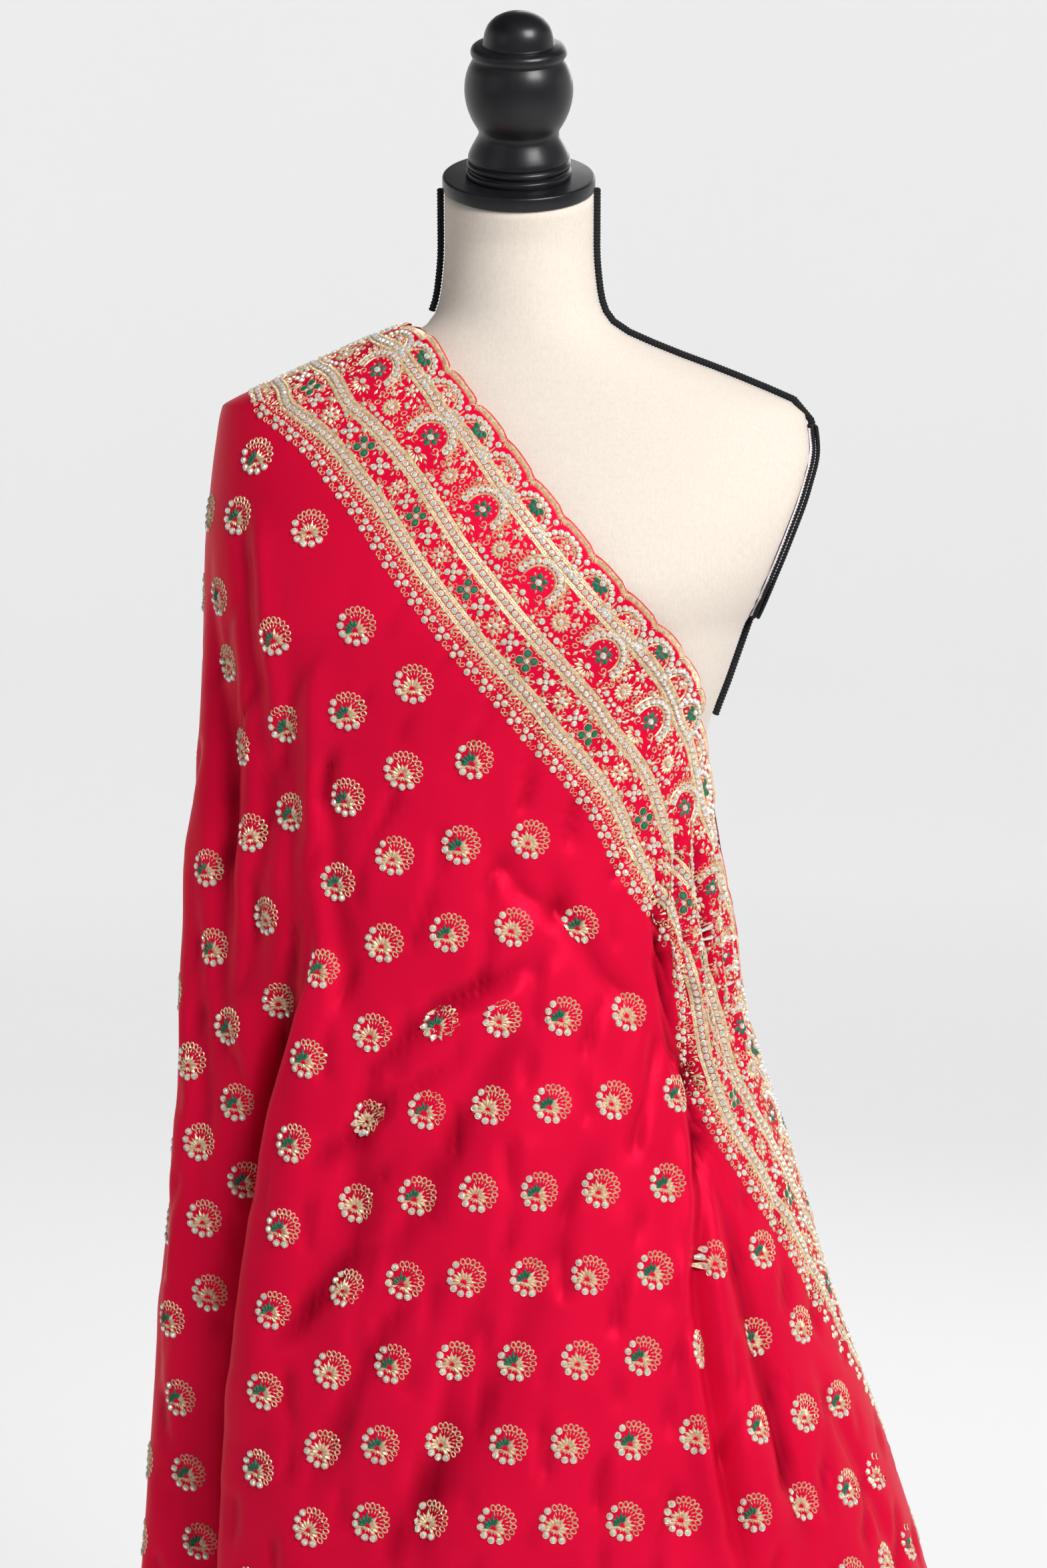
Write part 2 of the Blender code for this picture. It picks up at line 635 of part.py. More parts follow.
def border_point(place, across, mirrored=False):
    """Angle and height in the border: across is 0 at the scalloped edge, 1 at the inner line."""
    edge_angle = section_value(place, 1, mirrored)
    edge_height = section_value(place, 2, mirrored)
    inner_angle = section_value(place, 3, mirrored)
    inner_height = section_value(place, 4, mirrored)
    return (
        edge_angle + (inner_angle - edge_angle) * across,
        edge_height + (inner_height - edge_height) * across,
    )


def scallop_stations(last_section, mirrored):
    """Fractional section numbers at the notches between scallops."""
    fine = np.linspace(0, last_section, last_section * 30 + 1)
    angle, height = border_point(fine, 0.0, mirrored)
    edge = draped(angle, height, under_front=mirrored)
    run = np.concatenate([[0], np.cumsum(np.linalg.norm(np.diff(edge, axis=0), axis=1))])
    count = round(run[-1] / SCALLOP_PITCH)
    return np.interp(np.linspace(0, run[-1], count + 1), run, fine)


def sub_stations(stations):
    """Each space between stations split into equal columns."""
    steps = np.arange(0, len(stations) - 1 + 1e-9, 1 / SUB_COLUMNS)
    return np.interp(steps, np.arange(len(stations)), stations)


def straight_between_stations(points):
    """Columns between stations laid on the straight line between them."""
    out = points.copy()
    for i in range(points.shape[1]):
        part = i % SUB_COLUMNS
        if part:
            low = i - part
            share = part / SUB_COLUMNS
            out[:, i] = points[:, low] * (1 - share) + points[:, low + SUB_COLUMNS] * share
    return out


def strip_points(stations, rows, mirrored):
    """Outer points of a stretch of border, the scalloped edge first."""
    places = sub_stations(stations)
    across = np.linspace(0, 1, rows + 1)[:, None] * np.ones(len(places))
    notch = (np.arange(len(places)) % SUB_COLUMNS == 0) * SCALLOP_DEPTH / BORDER_WIDTH
    across = notch + (1 - notch) * across
    across[-1] = 1.0
    angle, height = border_point(places[None, :], across, mirrored)
    outer = draped(angle, height, under_front=mirrored)
    outer[-1] = straight_between_stations(outer[-1][None])[0]
    if rows == WAIST_ROWS:
        every = np.arange(rows + 1)
        coarse = np.linspace(0, rows, STRIP_ROWS + 1)
        for end in (0, -1):
            for axis in range(3):
                picked = np.interp(coarse, every, outer[:, end, axis])
                outer[:, end, axis] = np.interp(every, coarse, picked)
    return outer


def border_strip(name, outer, normal, mirrored):
    """One stretch of the scalloped border as a wall, parted from its neighbours."""
    outer = outer.copy()
    outer[:, 0] += towards(outer[:, 0], outer[:, 1], SEAM_GAP)
    outer[:, -1] += towards(outer[:, -1], outer[:, -2], SEAM_GAP)
    outer[-1] += towards(outer[-1], outer[-2], SEAM_GAP)
    if mirrored:
        outer, normal = outer[:, ::-1], normal[:, ::-1]
    return grid_wall(name, outer, normal, ("gold_border", GOLD_WORK))


def towards(start, goal, distance):
    """A move of the given length from one row of points to another."""
    way = goal - start
    return way / np.linalg.norm(way, axis=-1, keepdims=True) * distance


def nearest_station(stations, angle, mirrored):
    """Number of the station whose inner line is nearest an angle."""
    found, _ = border_point(stations, 1.0, mirrored)
    return int(np.argmin(np.abs(found - angle)))


def build_sari():
    """The border's stretches, and the four stretches of plain field that hang from it."""
    last = len(BORDER_SECTIONS) - 1
    front = scallop_stations(last, False)
    back = scallop_stations(BACK_SECTION_COUNT, True)
    _, front_edge = border_point(front, 0.0)
    waist_start = int(np.argmax(front_edge < WAIST_TOP))
    waist_end = int(np.argmax(front_edge < WAIST_FOOT))

    stretches = (
        ("border_front", front[: waist_start + 1], STRIP_ROWS),
        ("border_waist", front[waist_start : waist_end + 1], WAIST_ROWS),
        ("border_hip", front[waist_end:], STRIP_ROWS),
    )
    back_points = strip_points(back, STRIP_ROWS, True)
    back_normal = -grid_normals(back_points)
    inner, inner_normal = [], []
    for name, stations, rows in stretches:
        points = strip_points(stations, rows, False)
        normal = grid_normals(points)
        if not inner:
            ridge_normal = normal[:, 0] + back_normal[:, 0]
            ridge_normal /= np.linalg.norm(ridge_normal, axis=-1, keepdims=True)
            normal[:, 0] = back_normal[:, 0] = ridge_normal
        border_strip(name, points, normal, False)
        inner.append(points[-1][1 if inner else 0 :])
        inner_normal.append(normal[-1][1 if inner_normal else 0 :])
    border_strip("border_back", back_points, back_normal, True)

    front_places, back_places = sub_stations(front), sub_stations(back)
    front_angle, front_height = border_point(front_places, 1.0)
    back_angle, back_height = border_point(back_places, 1.0, True)
    top = np.vstack([np.vstack(inner)[::-1], back_points[-1][1:]])
    top_normal = np.vstack([np.vstack(inner_normal)[::-1], back_normal[-1][1:]])
    top_angle = np.concatenate([front_angle[::-1], back_angle[1:]])
    top_height = np.concatenate([front_height[::-1], back_height[1:]])

    ridge = len(front_places) - 1
    front_roll = ridge - SUB_COLUMNS * nearest_station(front, table_value(FRONT_ROLL, 1, ROLL_TOP), False)
    back_roll = ridge + SUB_COLUMNS * nearest_station(back, table_value(BACK_ROLL, 1, ROLL_TOP), True)
    reach = SUB_COLUMNS * ROLL_STATIONS
    front_start, front_end = front_roll - reach, front_roll + reach
    back_start, back_end = back_roll - reach, back_roll + reach

    number = np.arange(len(top_angle))
    kept = (number % SUB_COLUMNS == 0) | ((number >= front_start) & (number <= back_end))
    number = number[kept]
    top, top_normal = top[kept], top_normal[kept]
    top_angle, top_height = top_angle[kept], top_height[kept]

    down = np.linspace(0, 1, FIELD_ROWS + 1)[:, None] ** FIELD_ROW_BIAS
    angle = np.broadcast_to(top_angle, (FIELD_ROWS + 1, len(number)))
    settle = np.interp(
        number,
        [front_start - SETTLE_COLUMNS, front_start, back_end, back_end + SETTLE_COLUMNS],
        [1.0, SETTLE_SHORT, SETTLE_SHORT, 1.0],
    )
    share = np.where(settle < 0.999, ease(down / settle), down)
    for _ in range(4):
        height = top_height + (table_value(HEM, 1, angle) - top_height) * down
        half = ROLL_ANGLE / 2 + ROLL_SPREAD * ease((height - ROLL_SPREAD_FOOT) / ROLL_SPREAD_RISE)
        front_line = table_value(FRONT_ROLL, 1, height)
        back_line = table_value(BACK_ROLL, 1, height)
        marks = [0, front_start, front_end, ridge, back_start, back_end, number[-1]]
        goals = [
            np.full(height.shape, front_angle[-1]),
            front_line - half,
            front_line + half,
            np.full(height.shape, 180.0),
            back_line - half,
            back_line + half,
            table_value(BACK_END, 1, height),
        ]
        goal = np.zeros(height.shape)
        for i in range(len(marks) - 1):
            t = (number - marks[i]) / (marks[i + 1] - marks[i])
            use = (number >= marks[i]) & (number <= marks[i + 1])
            goal = np.where(use, goals[i] + (goals[i + 1] - goals[i]) * t, goal)
        angle = top_angle + (goal - top_angle) * share

    behind = angle > BEHIND_ANGLE
    outer = np.where(behind[..., None], draped(angle, height, True), draped(angle, height))
    outer[0] = top
    normal = -grid_normals(outer)
    normal[0] = top_normal
    outer[0] += towards(outer[0], outer[1], SEAM_GAP)
    front_split = int(np.searchsorted(number, front_end))
    back_split = int(np.searchsorted(number, back_start))
    side_split = int(np.argmin(np.abs(angle[SIDE_SPLIT_ROW] - SIDE_SPLIT_ANGLE)))
    back_side_split = back_split + int(np.argmin(np.abs(top_height[back_split:] - WAIST_FOOT)))
    cuts = (
        ("sari_side", 0, side_split),
        ("sari_front", side_split, front_split),
        ("sari_left_fall", front_split, back_split),
        ("sari_back", back_split, back_side_split),
        ("sari_back_side", back_side_split, len(number) - 1),
    )
    for name, first, final in cuts:
        part = outer[:, first : final + 1].copy()
        part[:, 0] += towards(part[:, 0], part[:, 1], SPLIT_GAP)
        part[:, -1] += towards(part[:, -1], part[:, -2], SPLIT_GAP)
        grid_wall(name, part[:, ::-1], normal[:, first : final + 1][:, ::-1], ("crimson_satin", CRIMSON))


clear_scene()
build_form()
build_sari()
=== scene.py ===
"""A crimson satin sari with a scalloped, stone-set border, draped on a linen dress form."""

import math

import bpy
import numpy as np
from mathutils import Matrix, Vector
from mathutils.bvhtree import BVHTree


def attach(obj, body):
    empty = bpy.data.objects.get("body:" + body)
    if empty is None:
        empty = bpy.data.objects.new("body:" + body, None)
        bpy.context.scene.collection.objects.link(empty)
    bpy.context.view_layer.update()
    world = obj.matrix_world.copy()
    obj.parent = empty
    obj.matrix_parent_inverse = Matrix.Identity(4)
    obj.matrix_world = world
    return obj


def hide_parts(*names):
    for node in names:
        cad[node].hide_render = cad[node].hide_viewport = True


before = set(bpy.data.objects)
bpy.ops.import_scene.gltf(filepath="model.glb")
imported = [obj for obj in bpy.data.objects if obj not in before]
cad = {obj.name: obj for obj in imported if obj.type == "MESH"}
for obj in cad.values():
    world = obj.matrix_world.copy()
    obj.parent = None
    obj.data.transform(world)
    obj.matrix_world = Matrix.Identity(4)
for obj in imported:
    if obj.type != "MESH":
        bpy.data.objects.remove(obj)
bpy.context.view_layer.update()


# Camera, floor and light
# The view looks 7 degrees down on the chest from 2.5 m. A pale paper sweep stands for floor and
# wall and glows softly behind the stand. A broad lamp at the upper right gives most of the
# light, with weaker ones from the left and from behind and a dim room.
AIM = Vector((0.003, 0.0, 1.128))
VIEW_DISTANCE = 2.5
LOOK_DOWN = math.radians(7.0)
LENS = 87.0
SENSOR_HEIGHT = 36.0

camera = bpy.data.objects.new("camera", bpy.data.cameras.new("camera"))
bpy.context.scene.collection.objects.link(camera)
camera.data.sensor_fit = "VERTICAL"
camera.data.sensor_height = SENSOR_HEIGHT
camera.data.lens = LENS
camera.location = AIM + VIEW_DISTANCE * Vector((0, -math.cos(LOOK_DOWN), math.sin(LOOK_DOWN)))
camera.rotation_euler = (math.pi / 2 - LOOK_DOWN, 0, 0)
bpy.context.scene.camera = camera
bpy.context.scene.view_settings.view_transform = "Standard"

# Sweep: distance from the middle, then height. A view from any side stays inside it.
SWEEP = [(0.0, 0.0), (7.2, 0.0), (8.8, 0.36), (9.8, 1.5), (10.4, 3.2), (10.6, 5.4), (10.6, 8.0)]
SWEEP_SIDES = 64
ROOM_LIGHT = 0.06
# The paper's glow fades out from the second height up to the first, and fades in from the
# first place in front to the second one behind.
PAPER_GLOW = 0.53
GLOW_HEIGHTS = (6.4, 4.2)
GLOW_DEPTHS = (-4.0, 4.0)
WELD = 0.00001
SHARP_EDGE = math.radians(38)


def tinted(name, colour, roughness, metallic=0.0, **sockets):
    """A Principled material with its plain values."""
    made = bpy.data.materials.new(name)
    made.use_nodes = True
    shader = made.node_tree.nodes["Principled BSDF"]
    shader.inputs["Base Color"].default_value = (*colour, 1.0)
    shader.inputs["Roughness"].default_value = roughness
    shader.inputs["Metallic"].default_value = metallic
    for socket, value in sockets.items():
        shader.inputs[socket.replace("_", " ")].default_value = value
    return made


def new_node(made, kind, output, **sockets):
    """One output of a new shader node, whose sockets are set or linked by name."""
    added = made.node_tree.nodes.new("ShaderNode" + kind)
    for name, value in sockets.items():
        socket = added.inputs[name.replace("_", " ")]
        if isinstance(value, bpy.types.NodeSocket):
            made.node_tree.links.new(value, socket)
        else:
            socket.default_value = value
    return added.outputs[output]


def feed(made, socket, value):
    """Leads a node's output into the material's shader."""
    made.node_tree.links.new(value, made.node_tree.nodes["Principled BSDF"].inputs[socket])


def noise_of(made, scale, detail=2.0, stretch=(1.0, 1.0, 1.0)):
    """A noise on Object coordinates, drawn out along an axis where stretch is small."""
    place = new_node(made, "Mapping", "Vector", Vector=new_node(made, "TexCoord", "Object"), Scale=stretch)
    return new_node(made, "TexNoise", "Fac", Vector=place, Scale=scale, Detail=detail)


def threads_of(made, pitch, turn):
    """Fine parallel threads on Object coordinates, one every pitch metres."""
    place = new_node(made, "Mapping", "Vector", Vector=new_node(made, "TexCoord", "Object"), Rotation=turn)
    scale = math.pi / 10 / pitch
    return new_node(made, "TexWave", "Fac", Vector=place, Scale=scale, Distortion=1.5, Detail=1.0)


def colour_by(made, factor, low, high, start=0.3, end=0.7):
    """Base colour from one tint to another as a factor rises."""
    tints = new_node(made, "ValToRGB", "Color", Fac=factor)
    for stop, place, tint in zip(tints.node.color_ramp.elements, (start, end), (low, high)):
        stop.position = place
        stop.color = (*tint, 1.0)
    feed(made, "Base Color", tints)
    return tints


def roughness_by(made, factor, low, high):
    """Roughness between two values as a factor rises."""
    feed(made, "Roughness", new_node(made, "MapRange", "Result", Value=factor, To_Min=low, To_Max=high))


def bump_by(made, factor, depth, strength=1.0, under=None):
    """Relief of a depth in metres from a factor, over another relief if given."""
    over = {} if under is None else {"Normal": under}
    relief = new_node(made, "Bump", "Normal", Height=factor, Distance=depth, Strength=strength, **over)
    feed(made, "Normal", relief)
    return relief


def turned(name, profile, steps, seat=Matrix.Identity(4)):
    """A turned piece: its profile of radius and height spun round the Z axis."""
    bpy.ops.object.select_all(action="DESELECT")
    mesh = bpy.data.meshes.new(name)
    mesh.from_pydata([(r, 0, h) for r, h in profile], [(i, i + 1) for i in range(len(profile) - 1)], [])
    piece = bpy.data.objects.new(name, mesh)
    bpy.context.scene.collection.objects.link(piece)
    bpy.context.view_layer.objects.active = piece
    piece.select_set(True)
    bpy.ops.object.mode_set(mode="EDIT")
    bpy.ops.mesh.select_all(action="SELECT")
    bpy.ops.mesh.spin(steps=steps, angle=2 * math.pi, center=(0, 0, 0), axis=(0, 0, 1))
    bpy.ops.mesh.select_all(action="SELECT")
    bpy.ops.mesh.remove_doubles(threshold=WELD)
    bpy.ops.mesh.normals_make_consistent(inside=False)
    bpy.ops.object.mode_set(mode="OBJECT")
    mesh.transform(seat)
    bpy.ops.object.shade_smooth_by_angle(angle=SHARP_EDGE)
    return piece


sweep = turned("sweep", SWEEP, SWEEP_SIDES)
sweep.data.flip_normals()
paper = tinted("backdrop_paper", (0.80, 0.80, 0.81), 0.95, Emission_Strength=PAPER_GLOW)
colour_by(paper, noise_of(paper, 0.8), (0.79, 0.79, 0.80), (0.81, 0.81, 0.82))
axes = new_node(paper, "SeparateXYZ", "X", Vector=new_node(paper, "TexCoord", "Object")).node
glow = new_node(paper, "Math", "Value").node
glow.operation = "MULTIPLY"
for k, (axis, low, high) in enumerate((("Z", *GLOW_HEIGHTS), ("Y", *GLOW_DEPTHS))):
    fade = new_node(paper, "MapRange", "Result", Value=axes.outputs[axis], From_Min=low, From_Max=high)
    fade.node.interpolation_type = "SMOOTHSTEP"
    paper.node_tree.links.new(fade, glow.inputs[k])
feed(paper, "Emission Color", glow.outputs["Value"])
sweep.data.materials.append(paper)

room = bpy.data.worlds.new("room")
bpy.context.scene.world = room
room.use_nodes = True
background = room.node_tree.nodes["Background"]
background.inputs["Color"].default_value = (0.95, 0.97, 1.0, 1.0)
background.inputs["Strength"].default_value = ROOM_LIGHT

# Lamp: place, aim, width, power.
LAMPS = {
    "key_lamp": ((1.45, -2.05, 3.0), (0.0, 0.0, 1.3), 1.3, 99.0),
    "fill_lamp": ((-2.4, -2.0, 1.9), (0.0, 0.0, 1.0), 1.8, 4.5),
    "rim_lamp": ((0.8, 2.6, 2.6), (0.0, 0.0, 1.1), 1.6, 20.0),
}
for lamp_name, (stand, aim, width, power) in LAMPS.items():
    lamp = bpy.data.lights.new(lamp_name, "AREA")
    lamp.size = width
    lamp.energy = power
    holder = bpy.data.objects.new(lamp_name, lamp)
    holder.location = stand
    holder.rotation_euler = (Vector(aim) - Vector(stand)).to_track_quat("-Z", "Y").to_euler()
    bpy.context.scene.collection.objects.link(holder)


# Stand
# A round steel foot with a steel pole, both sprayed black. The pole is pushed into the foot
# and carries the torso.
def coat(names, look):
    """Gives CAD pieces one material."""
    for name in names:
        cad[name].data.materials.clear()
        cad[name].data.materials.append(look)


lacquer = tinted("black_lacquer", (0.010, 0.010, 0.012), 0.30, Coat_Weight=0.35, Coat_Roughness=0.22)
roughness_by(lacquer, noise_of(lacquer, 60.0, 3.0), 0.22, 0.40)
bump_by(lacquer, noise_of(lacquer, 900.0), 0.00004, 0.4)
coat(("base", "pole"), lacquer)


# Torso
# A foam torso with a tight cover of cream linen, sewn in two halves down the sides. It has
# no arms, and a flat linen covered plate closes each armhole.
# Rings of the torso: height, half width, front depth, back depth.
FORM_RINGS = [
    (0.790, 0.155, 0.100, 0.118),
    (0.860, 0.163, 0.107, 0.124),
    (0.920, 0.153, 0.107, 0.113),
    (0.980, 0.134, 0.102, 0.096),
    (1.040, 0.119, 0.097, 0.085),
    (1.100, 0.117, 0.098, 0.083),
    (1.164, 0.124, 0.104, 0.087),
    (1.200, 0.136, 0.111, 0.092),
    (1.260, 0.157, 0.114, 0.100),
    (1.293, 0.170, 0.106, 0.102),
    (1.325, 0.182, 0.092, 0.099),
    (1.350, 0.188, 0.078, 0.090),
    (1.373, 0.1860, 0.065, 0.076),
    (1.382, 0.1690, 0.060, 0.069),
    (1.397, 0.133, 0.055, 0.061),
    (1.411, 0.096, 0.051, 0.056),
    (1.424, 0.067, 0.049, 0.053),
    (1.434, 0.0555, 0.048, 0.052),
    (1.450, 0.0505, 0.047, 0.051),
    (1.480, 0.0480, 0.046, 0.049),
    (1.530, 0.0480, 0.047, 0.048),
]
NECK_TOP = 1.516
NECK_LEAN = 20.0
NECK_SET_BACK = -0.006
NECK_STRAIGHT_TOP = 1.480
PLATE_FOOT = 1.236
PLATE_TOP = 1.367
PLATE_BULGE = 0.018
PLATE_THICK = 0.002
PLATE_ROUND = 0.8
TORSO_SIDES = 112
TORSO_ROWS = 96


def table_value(rows, column, at):
    """A column of a table at given values of its first column, smooth and with no overshoot."""
    table = np.array(sorted(rows), float)
    key, value = table[:, 0], table[:, column]
    step = np.diff(key)
    slope = np.diff(value) / step
    tangent = np.zeros(len(key))
    tangent[0], tangent[-1] = slope[0], slope[-1]
    before, after = slope[:-1], slope[1:]
    same_way = before * after > 0
    tangent[1:-1][same_way] = 2 * before[same_way] * after[same_way] / (before + after)[same_way]
    at = np.clip(np.asarray(at, float), key[0], key[-1])
    i = np.clip(np.searchsorted(key, at, side="right") - 1, 0, len(step) - 1)
    t = (at - key[i]) / step[i]
    rise = (2 * t**3 - 3 * t**2 + 1) * value[i] + (3 * t**2 - 2 * t**3) * value[i + 1]
    bend = (t**3 - 2 * t**2 + t) * tangent[i] + (t**3 - t**2) * tangent[i + 1]
    return rise + bend * step[i]


def torso_widths(height):
    """Half width of the torso at its flat armholes, and of the full round it is cut from."""
    half = table_value(FORM_RINGS, 1, height)
    t = np.clip((height - PLATE_FOOT) / (PLATE_TOP - PLATE_FOOT), 0, 1)
    return half, half + PLATE_BULGE * np.sin(math.pi * t) ** PLATE_ROUND


def torso_point(turn, height):
    """Point of the torso, flattened where the armhole plates sit."""
    half, full = torso_widths(height)
    x = np.clip(full * np.cos(turn), -half, half)
    front, back = table_value(FORM_RINGS, 2, height), table_value(FORM_RINGS, 3, height)
    return np.stack([x, np.where(np.sin(turn) < 0, front, back) * np.sin(turn), height], axis=-1)


def new_piece(name, points, faces, look, smooth=True):
    """One object from points and faces, with its material."""
    mesh = bpy.data.meshes.new(name)
    mesh.from_pydata(np.asarray(points).tolist(), [], faces)
    mesh.update()
    if smooth:
        mesh.shade_smooth()
    mesh.materials.append(look)
    piece = bpy.data.objects.new(name, mesh)
    bpy.context.scene.collection.objects.link(piece)
    return piece


neck_tilt = Matrix.Rotation(math.radians(NECK_LEAN), 4, "X")
neck_seat = Matrix.Translation((0, NECK_SET_BACK, NECK_TOP)) @ neck_tilt
turn = np.linspace(0, 2 * math.pi, TORSO_SIDES, endpoint=False)
levels = np.linspace(FORM_RINGS[0][0], NECK_STRAIGHT_TOP, TORSO_ROWS)
rings = [torso_point(turn, np.full(TORSO_SIDES, level)) for level in levels]
neck_half = float(table_value(FORM_RINGS, 1, NECK_TOP))
neck_rim = np.array([neck_seat @ Vector((neck_half * math.cos(a), neck_half * math.sin(a), 0)) for a in turn])
for share in (0.25, 0.5, 0.75, 1.0):
    rings.append(rings[TORSO_ROWS - 1] * (1 - share) + neck_rim * share)
torso_faces = [tuple(range(TORSO_SIDES))[::-1]]
for r in range(len(rings) - 1):
    for c in range(TORSO_SIDES):
        n = (c + 1) % TORSO_SIDES
        low, high = r * TORSO_SIDES, (r + 1) * TORSO_SIDES
        torso_faces.append((low + c, low + n, high + n, high + c))
torso_faces.append(tuple(range((len(rings) - 1) * TORSO_SIDES, len(rings) * TORSO_SIDES)))

linen = tinted("linen_cover", (0.80, 0.72, 0.63), 0.88, Sheen_Weight=0.12, Sheen_Roughness=0.5)
linen_mottle = noise_of(linen, 620.0, 5.0, (1, 1, 0.5))
colour_by(linen, linen_mottle, (0.765, 0.675, 0.580), (0.835, 0.755, 0.665), 0.25, 0.75)
weft = bump_by(linen, threads_of(linen, 0.0009, (0, math.pi / 2, 0)), 0.00012, 0.5)
bump_by(linen, threads_of(linen, 0.0010, (0, 0, 0)), 0.00010, 0.5, weft)
torso = new_piece("torso", np.vstack(rings), torso_faces, linen)
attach(torso, "root")
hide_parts("form_torso")

plate_linen = tinted("plate_linen", (0.80, 0.76, 0.78), 0.85)
colour_by(plate_linen, noise_of(plate_linen, 300.0, 4.0), (0.76, 0.71, 0.75), (0.84, 0.80, 0.83))
bump_by(plate_linen, threads_of(plate_linen, 0.0009, (0, math.pi / 2, 0)), 0.00010, 0.5)
coat(("arm_plate_right", "arm_plate_left"), plate_linen)


# Neck disc and knob
# A turned wooden disc that closes the neck and a turned knob screwed into it, both in
# satin black lacquer.
CAP_THICK = 0.009
SEAM_GAP = 0.0003
CAP_PROFILE = [
    (0.0, 0.0), (0.0484, 0.0), (0.0491, 0.0003), (0.0494, 0.0010), (0.0494, 0.0076),
    (0.0491, 0.0083), (0.0484, 0.0089), (0.0476, 0.0090), (0.0, 0.0090),
]
KNOB_PROFILE = [
    (0.0, 0.0), (0.0338, 0.0000), (0.0340, 0.0008), (0.0340, 0.0030), (0.0336, 0.0037), (0.0322, 0.0043),
    (0.0321, 0.0050), (0.0330, 0.0058), (0.0334, 0.0070), (0.0336, 0.0081), (0.0332, 0.0091),
    (0.0318, 0.0100), (0.0319, 0.0108), (0.0327, 0.0118), (0.0326, 0.0133), (0.0316, 0.0158),
    (0.0300, 0.0190), (0.0281, 0.0224), (0.0266, 0.0252), (0.0259, 0.0270), (0.0257, 0.0286),
    (0.0266, 0.0312), (0.0285, 0.0343), (0.0307, 0.0384), (0.0325, 0.0429), (0.0338, 0.0475),
    (0.0346, 0.0524), (0.0348, 0.0557), (0.0347, 0.0590), (0.0343, 0.0630), (0.0335, 0.0667),
    (0.0322, 0.0704), (0.0305, 0.0738), (0.0292, 0.0757), (0.0289, 0.0764), (0.0294, 0.0774),
    (0.0302, 0.0786), (0.0307, 0.0798), (0.0308, 0.0810), (0.0306, 0.0824), (0.0300, 0.0836),
    (0.0288, 0.0847), (0.0270, 0.0853), (0.0245, 0.0857), (0.0232, 0.0860), (0.0228, 0.0868),
    (0.0226, 0.0880), (0.0225, 0.0895), (0.0220, 0.0922), (0.0212, 0.0948), (0.0199, 0.0976),
    (0.0180, 0.1000), (0.0156, 0.1022), (0.0125, 0.1039), (0.0094, 0.1052), (0.0060, 0.1060),
    (0.0030, 0.1064), (0.0, 0.1065),
]
TURNED_STEPS = 72

disc_seat = neck_seat @ Matrix.Translation((0, 0, SEAM_GAP))
neck_disc = turned("neck_disc", CAP_PROFILE, TURNED_STEPS, disc_seat)
knob_seat = disc_seat @ Matrix.Translation((0, 0, CAP_THICK + SEAM_GAP))
knob = turned("knob", KNOB_PROFILE, TURNED_STEPS, knob_seat)
wood_gloss = {"Specular_IOR_Level": 0.35, "Coat_Weight": 0.12, "Coat_Roughness": 0.2}
wood = tinted("lacquered_wood", (0.009, 0.009, 0.011), 0.34, **wood_gloss)
colour_by(wood, noise_of(wood, 55.0, 5.0, (1, 1, 0.15)), (0.006, 0.006, 0.008), (0.013, 0.013, 0.015))
roughness_by(wood, noise_of(wood, 90.0, 4.0, (1, 1, 0.2)), 0.28, 0.42)
bump_by(wood, noise_of(wood, 320.0, 4.0, (1, 1, 0.12)), 0.00006, 0.5)
for piece, node in ((neck_disc, "neck_cap"), (knob, "finial")):
    piece.data.materials.append(wood)
    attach(piece, "root")
    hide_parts(node)


# Black gimp braid
# Narrow black gimp of two looped strands, sewn over the torso's seams: up both sides of the
# neck, along the shoulder, round the armhole plate and down the side.
BRAID_RADIUS = 0.0023
NECK_BRAID_WIDTH = 0.0048
SHOULDER_BRAID_WIDTH = 0.0060
SIDE_BRAID_WIDTH = 0.0054
LEFT_BRAID_FOOT = 1.435
SHOULDER_BRAID_FOOT = 1.374
SIDE_BRAID_FOOT = 1.170
SIDE_BRAID_LAP = 0.006
PLATE_INSET = 0.005
HOOP_LEVELS = 40
HOOP_OUT = PLATE_THICK + 2 * SEAM_GAP + BRAID_RADIUS
HOOP_PRESSED = 0.0008
HOOP_INSET = 0.0015
# The braid's way over the shoulder tip: how far inside the armhole's braid and below its top.
TIP_WAY = ((0.0004, 0.0046), (0.0012, 0.0))
KNOT_STEP = 0.0021
KNOT_SIDES = 6
# A knot: place and size of its rings, its lean, and its halves as shares of the braid.
KNOT_RINGS = ((-0.62, 0.8), (0.0, 1.05), (0.62, 0.8))
KNOT_ALONG, KNOT_ASIDE = 0.80, 0.60
KNOT_LONG, KNOT_BROAD, KNOT_HIGH = 0.36, 0.18, 1.12
STRAND_OUT = 0.24


def unit(rows):
    """Rows scaled to length one."""
    return rows / np.linalg.norm(rows, axis=-1, keepdims=True)


def run_along(points):
    """Distance of each point from the first one, along the line they make."""
    return np.concatenate([[0], np.cumsum(np.linalg.norm(np.diff(points, axis=0), axis=1))])


def braid_route(side, low, high):
    """Points just outside the torso's side line between two heights."""
    line = np.array([ring[0 if side > 0 else TORSO_SIDES // 2] for ring in rings])
    along = np.gradient(line, axis=0)
    out = np.column_stack([side * along[:, 2], np.zeros(len(line)), -side * along[:, 0]])
    route = line + unit(out) * (BRAID_RADIUS + SEAM_GAP)
    return route[(route[:, 2] >= low) & (route[:, 2] <= high)]


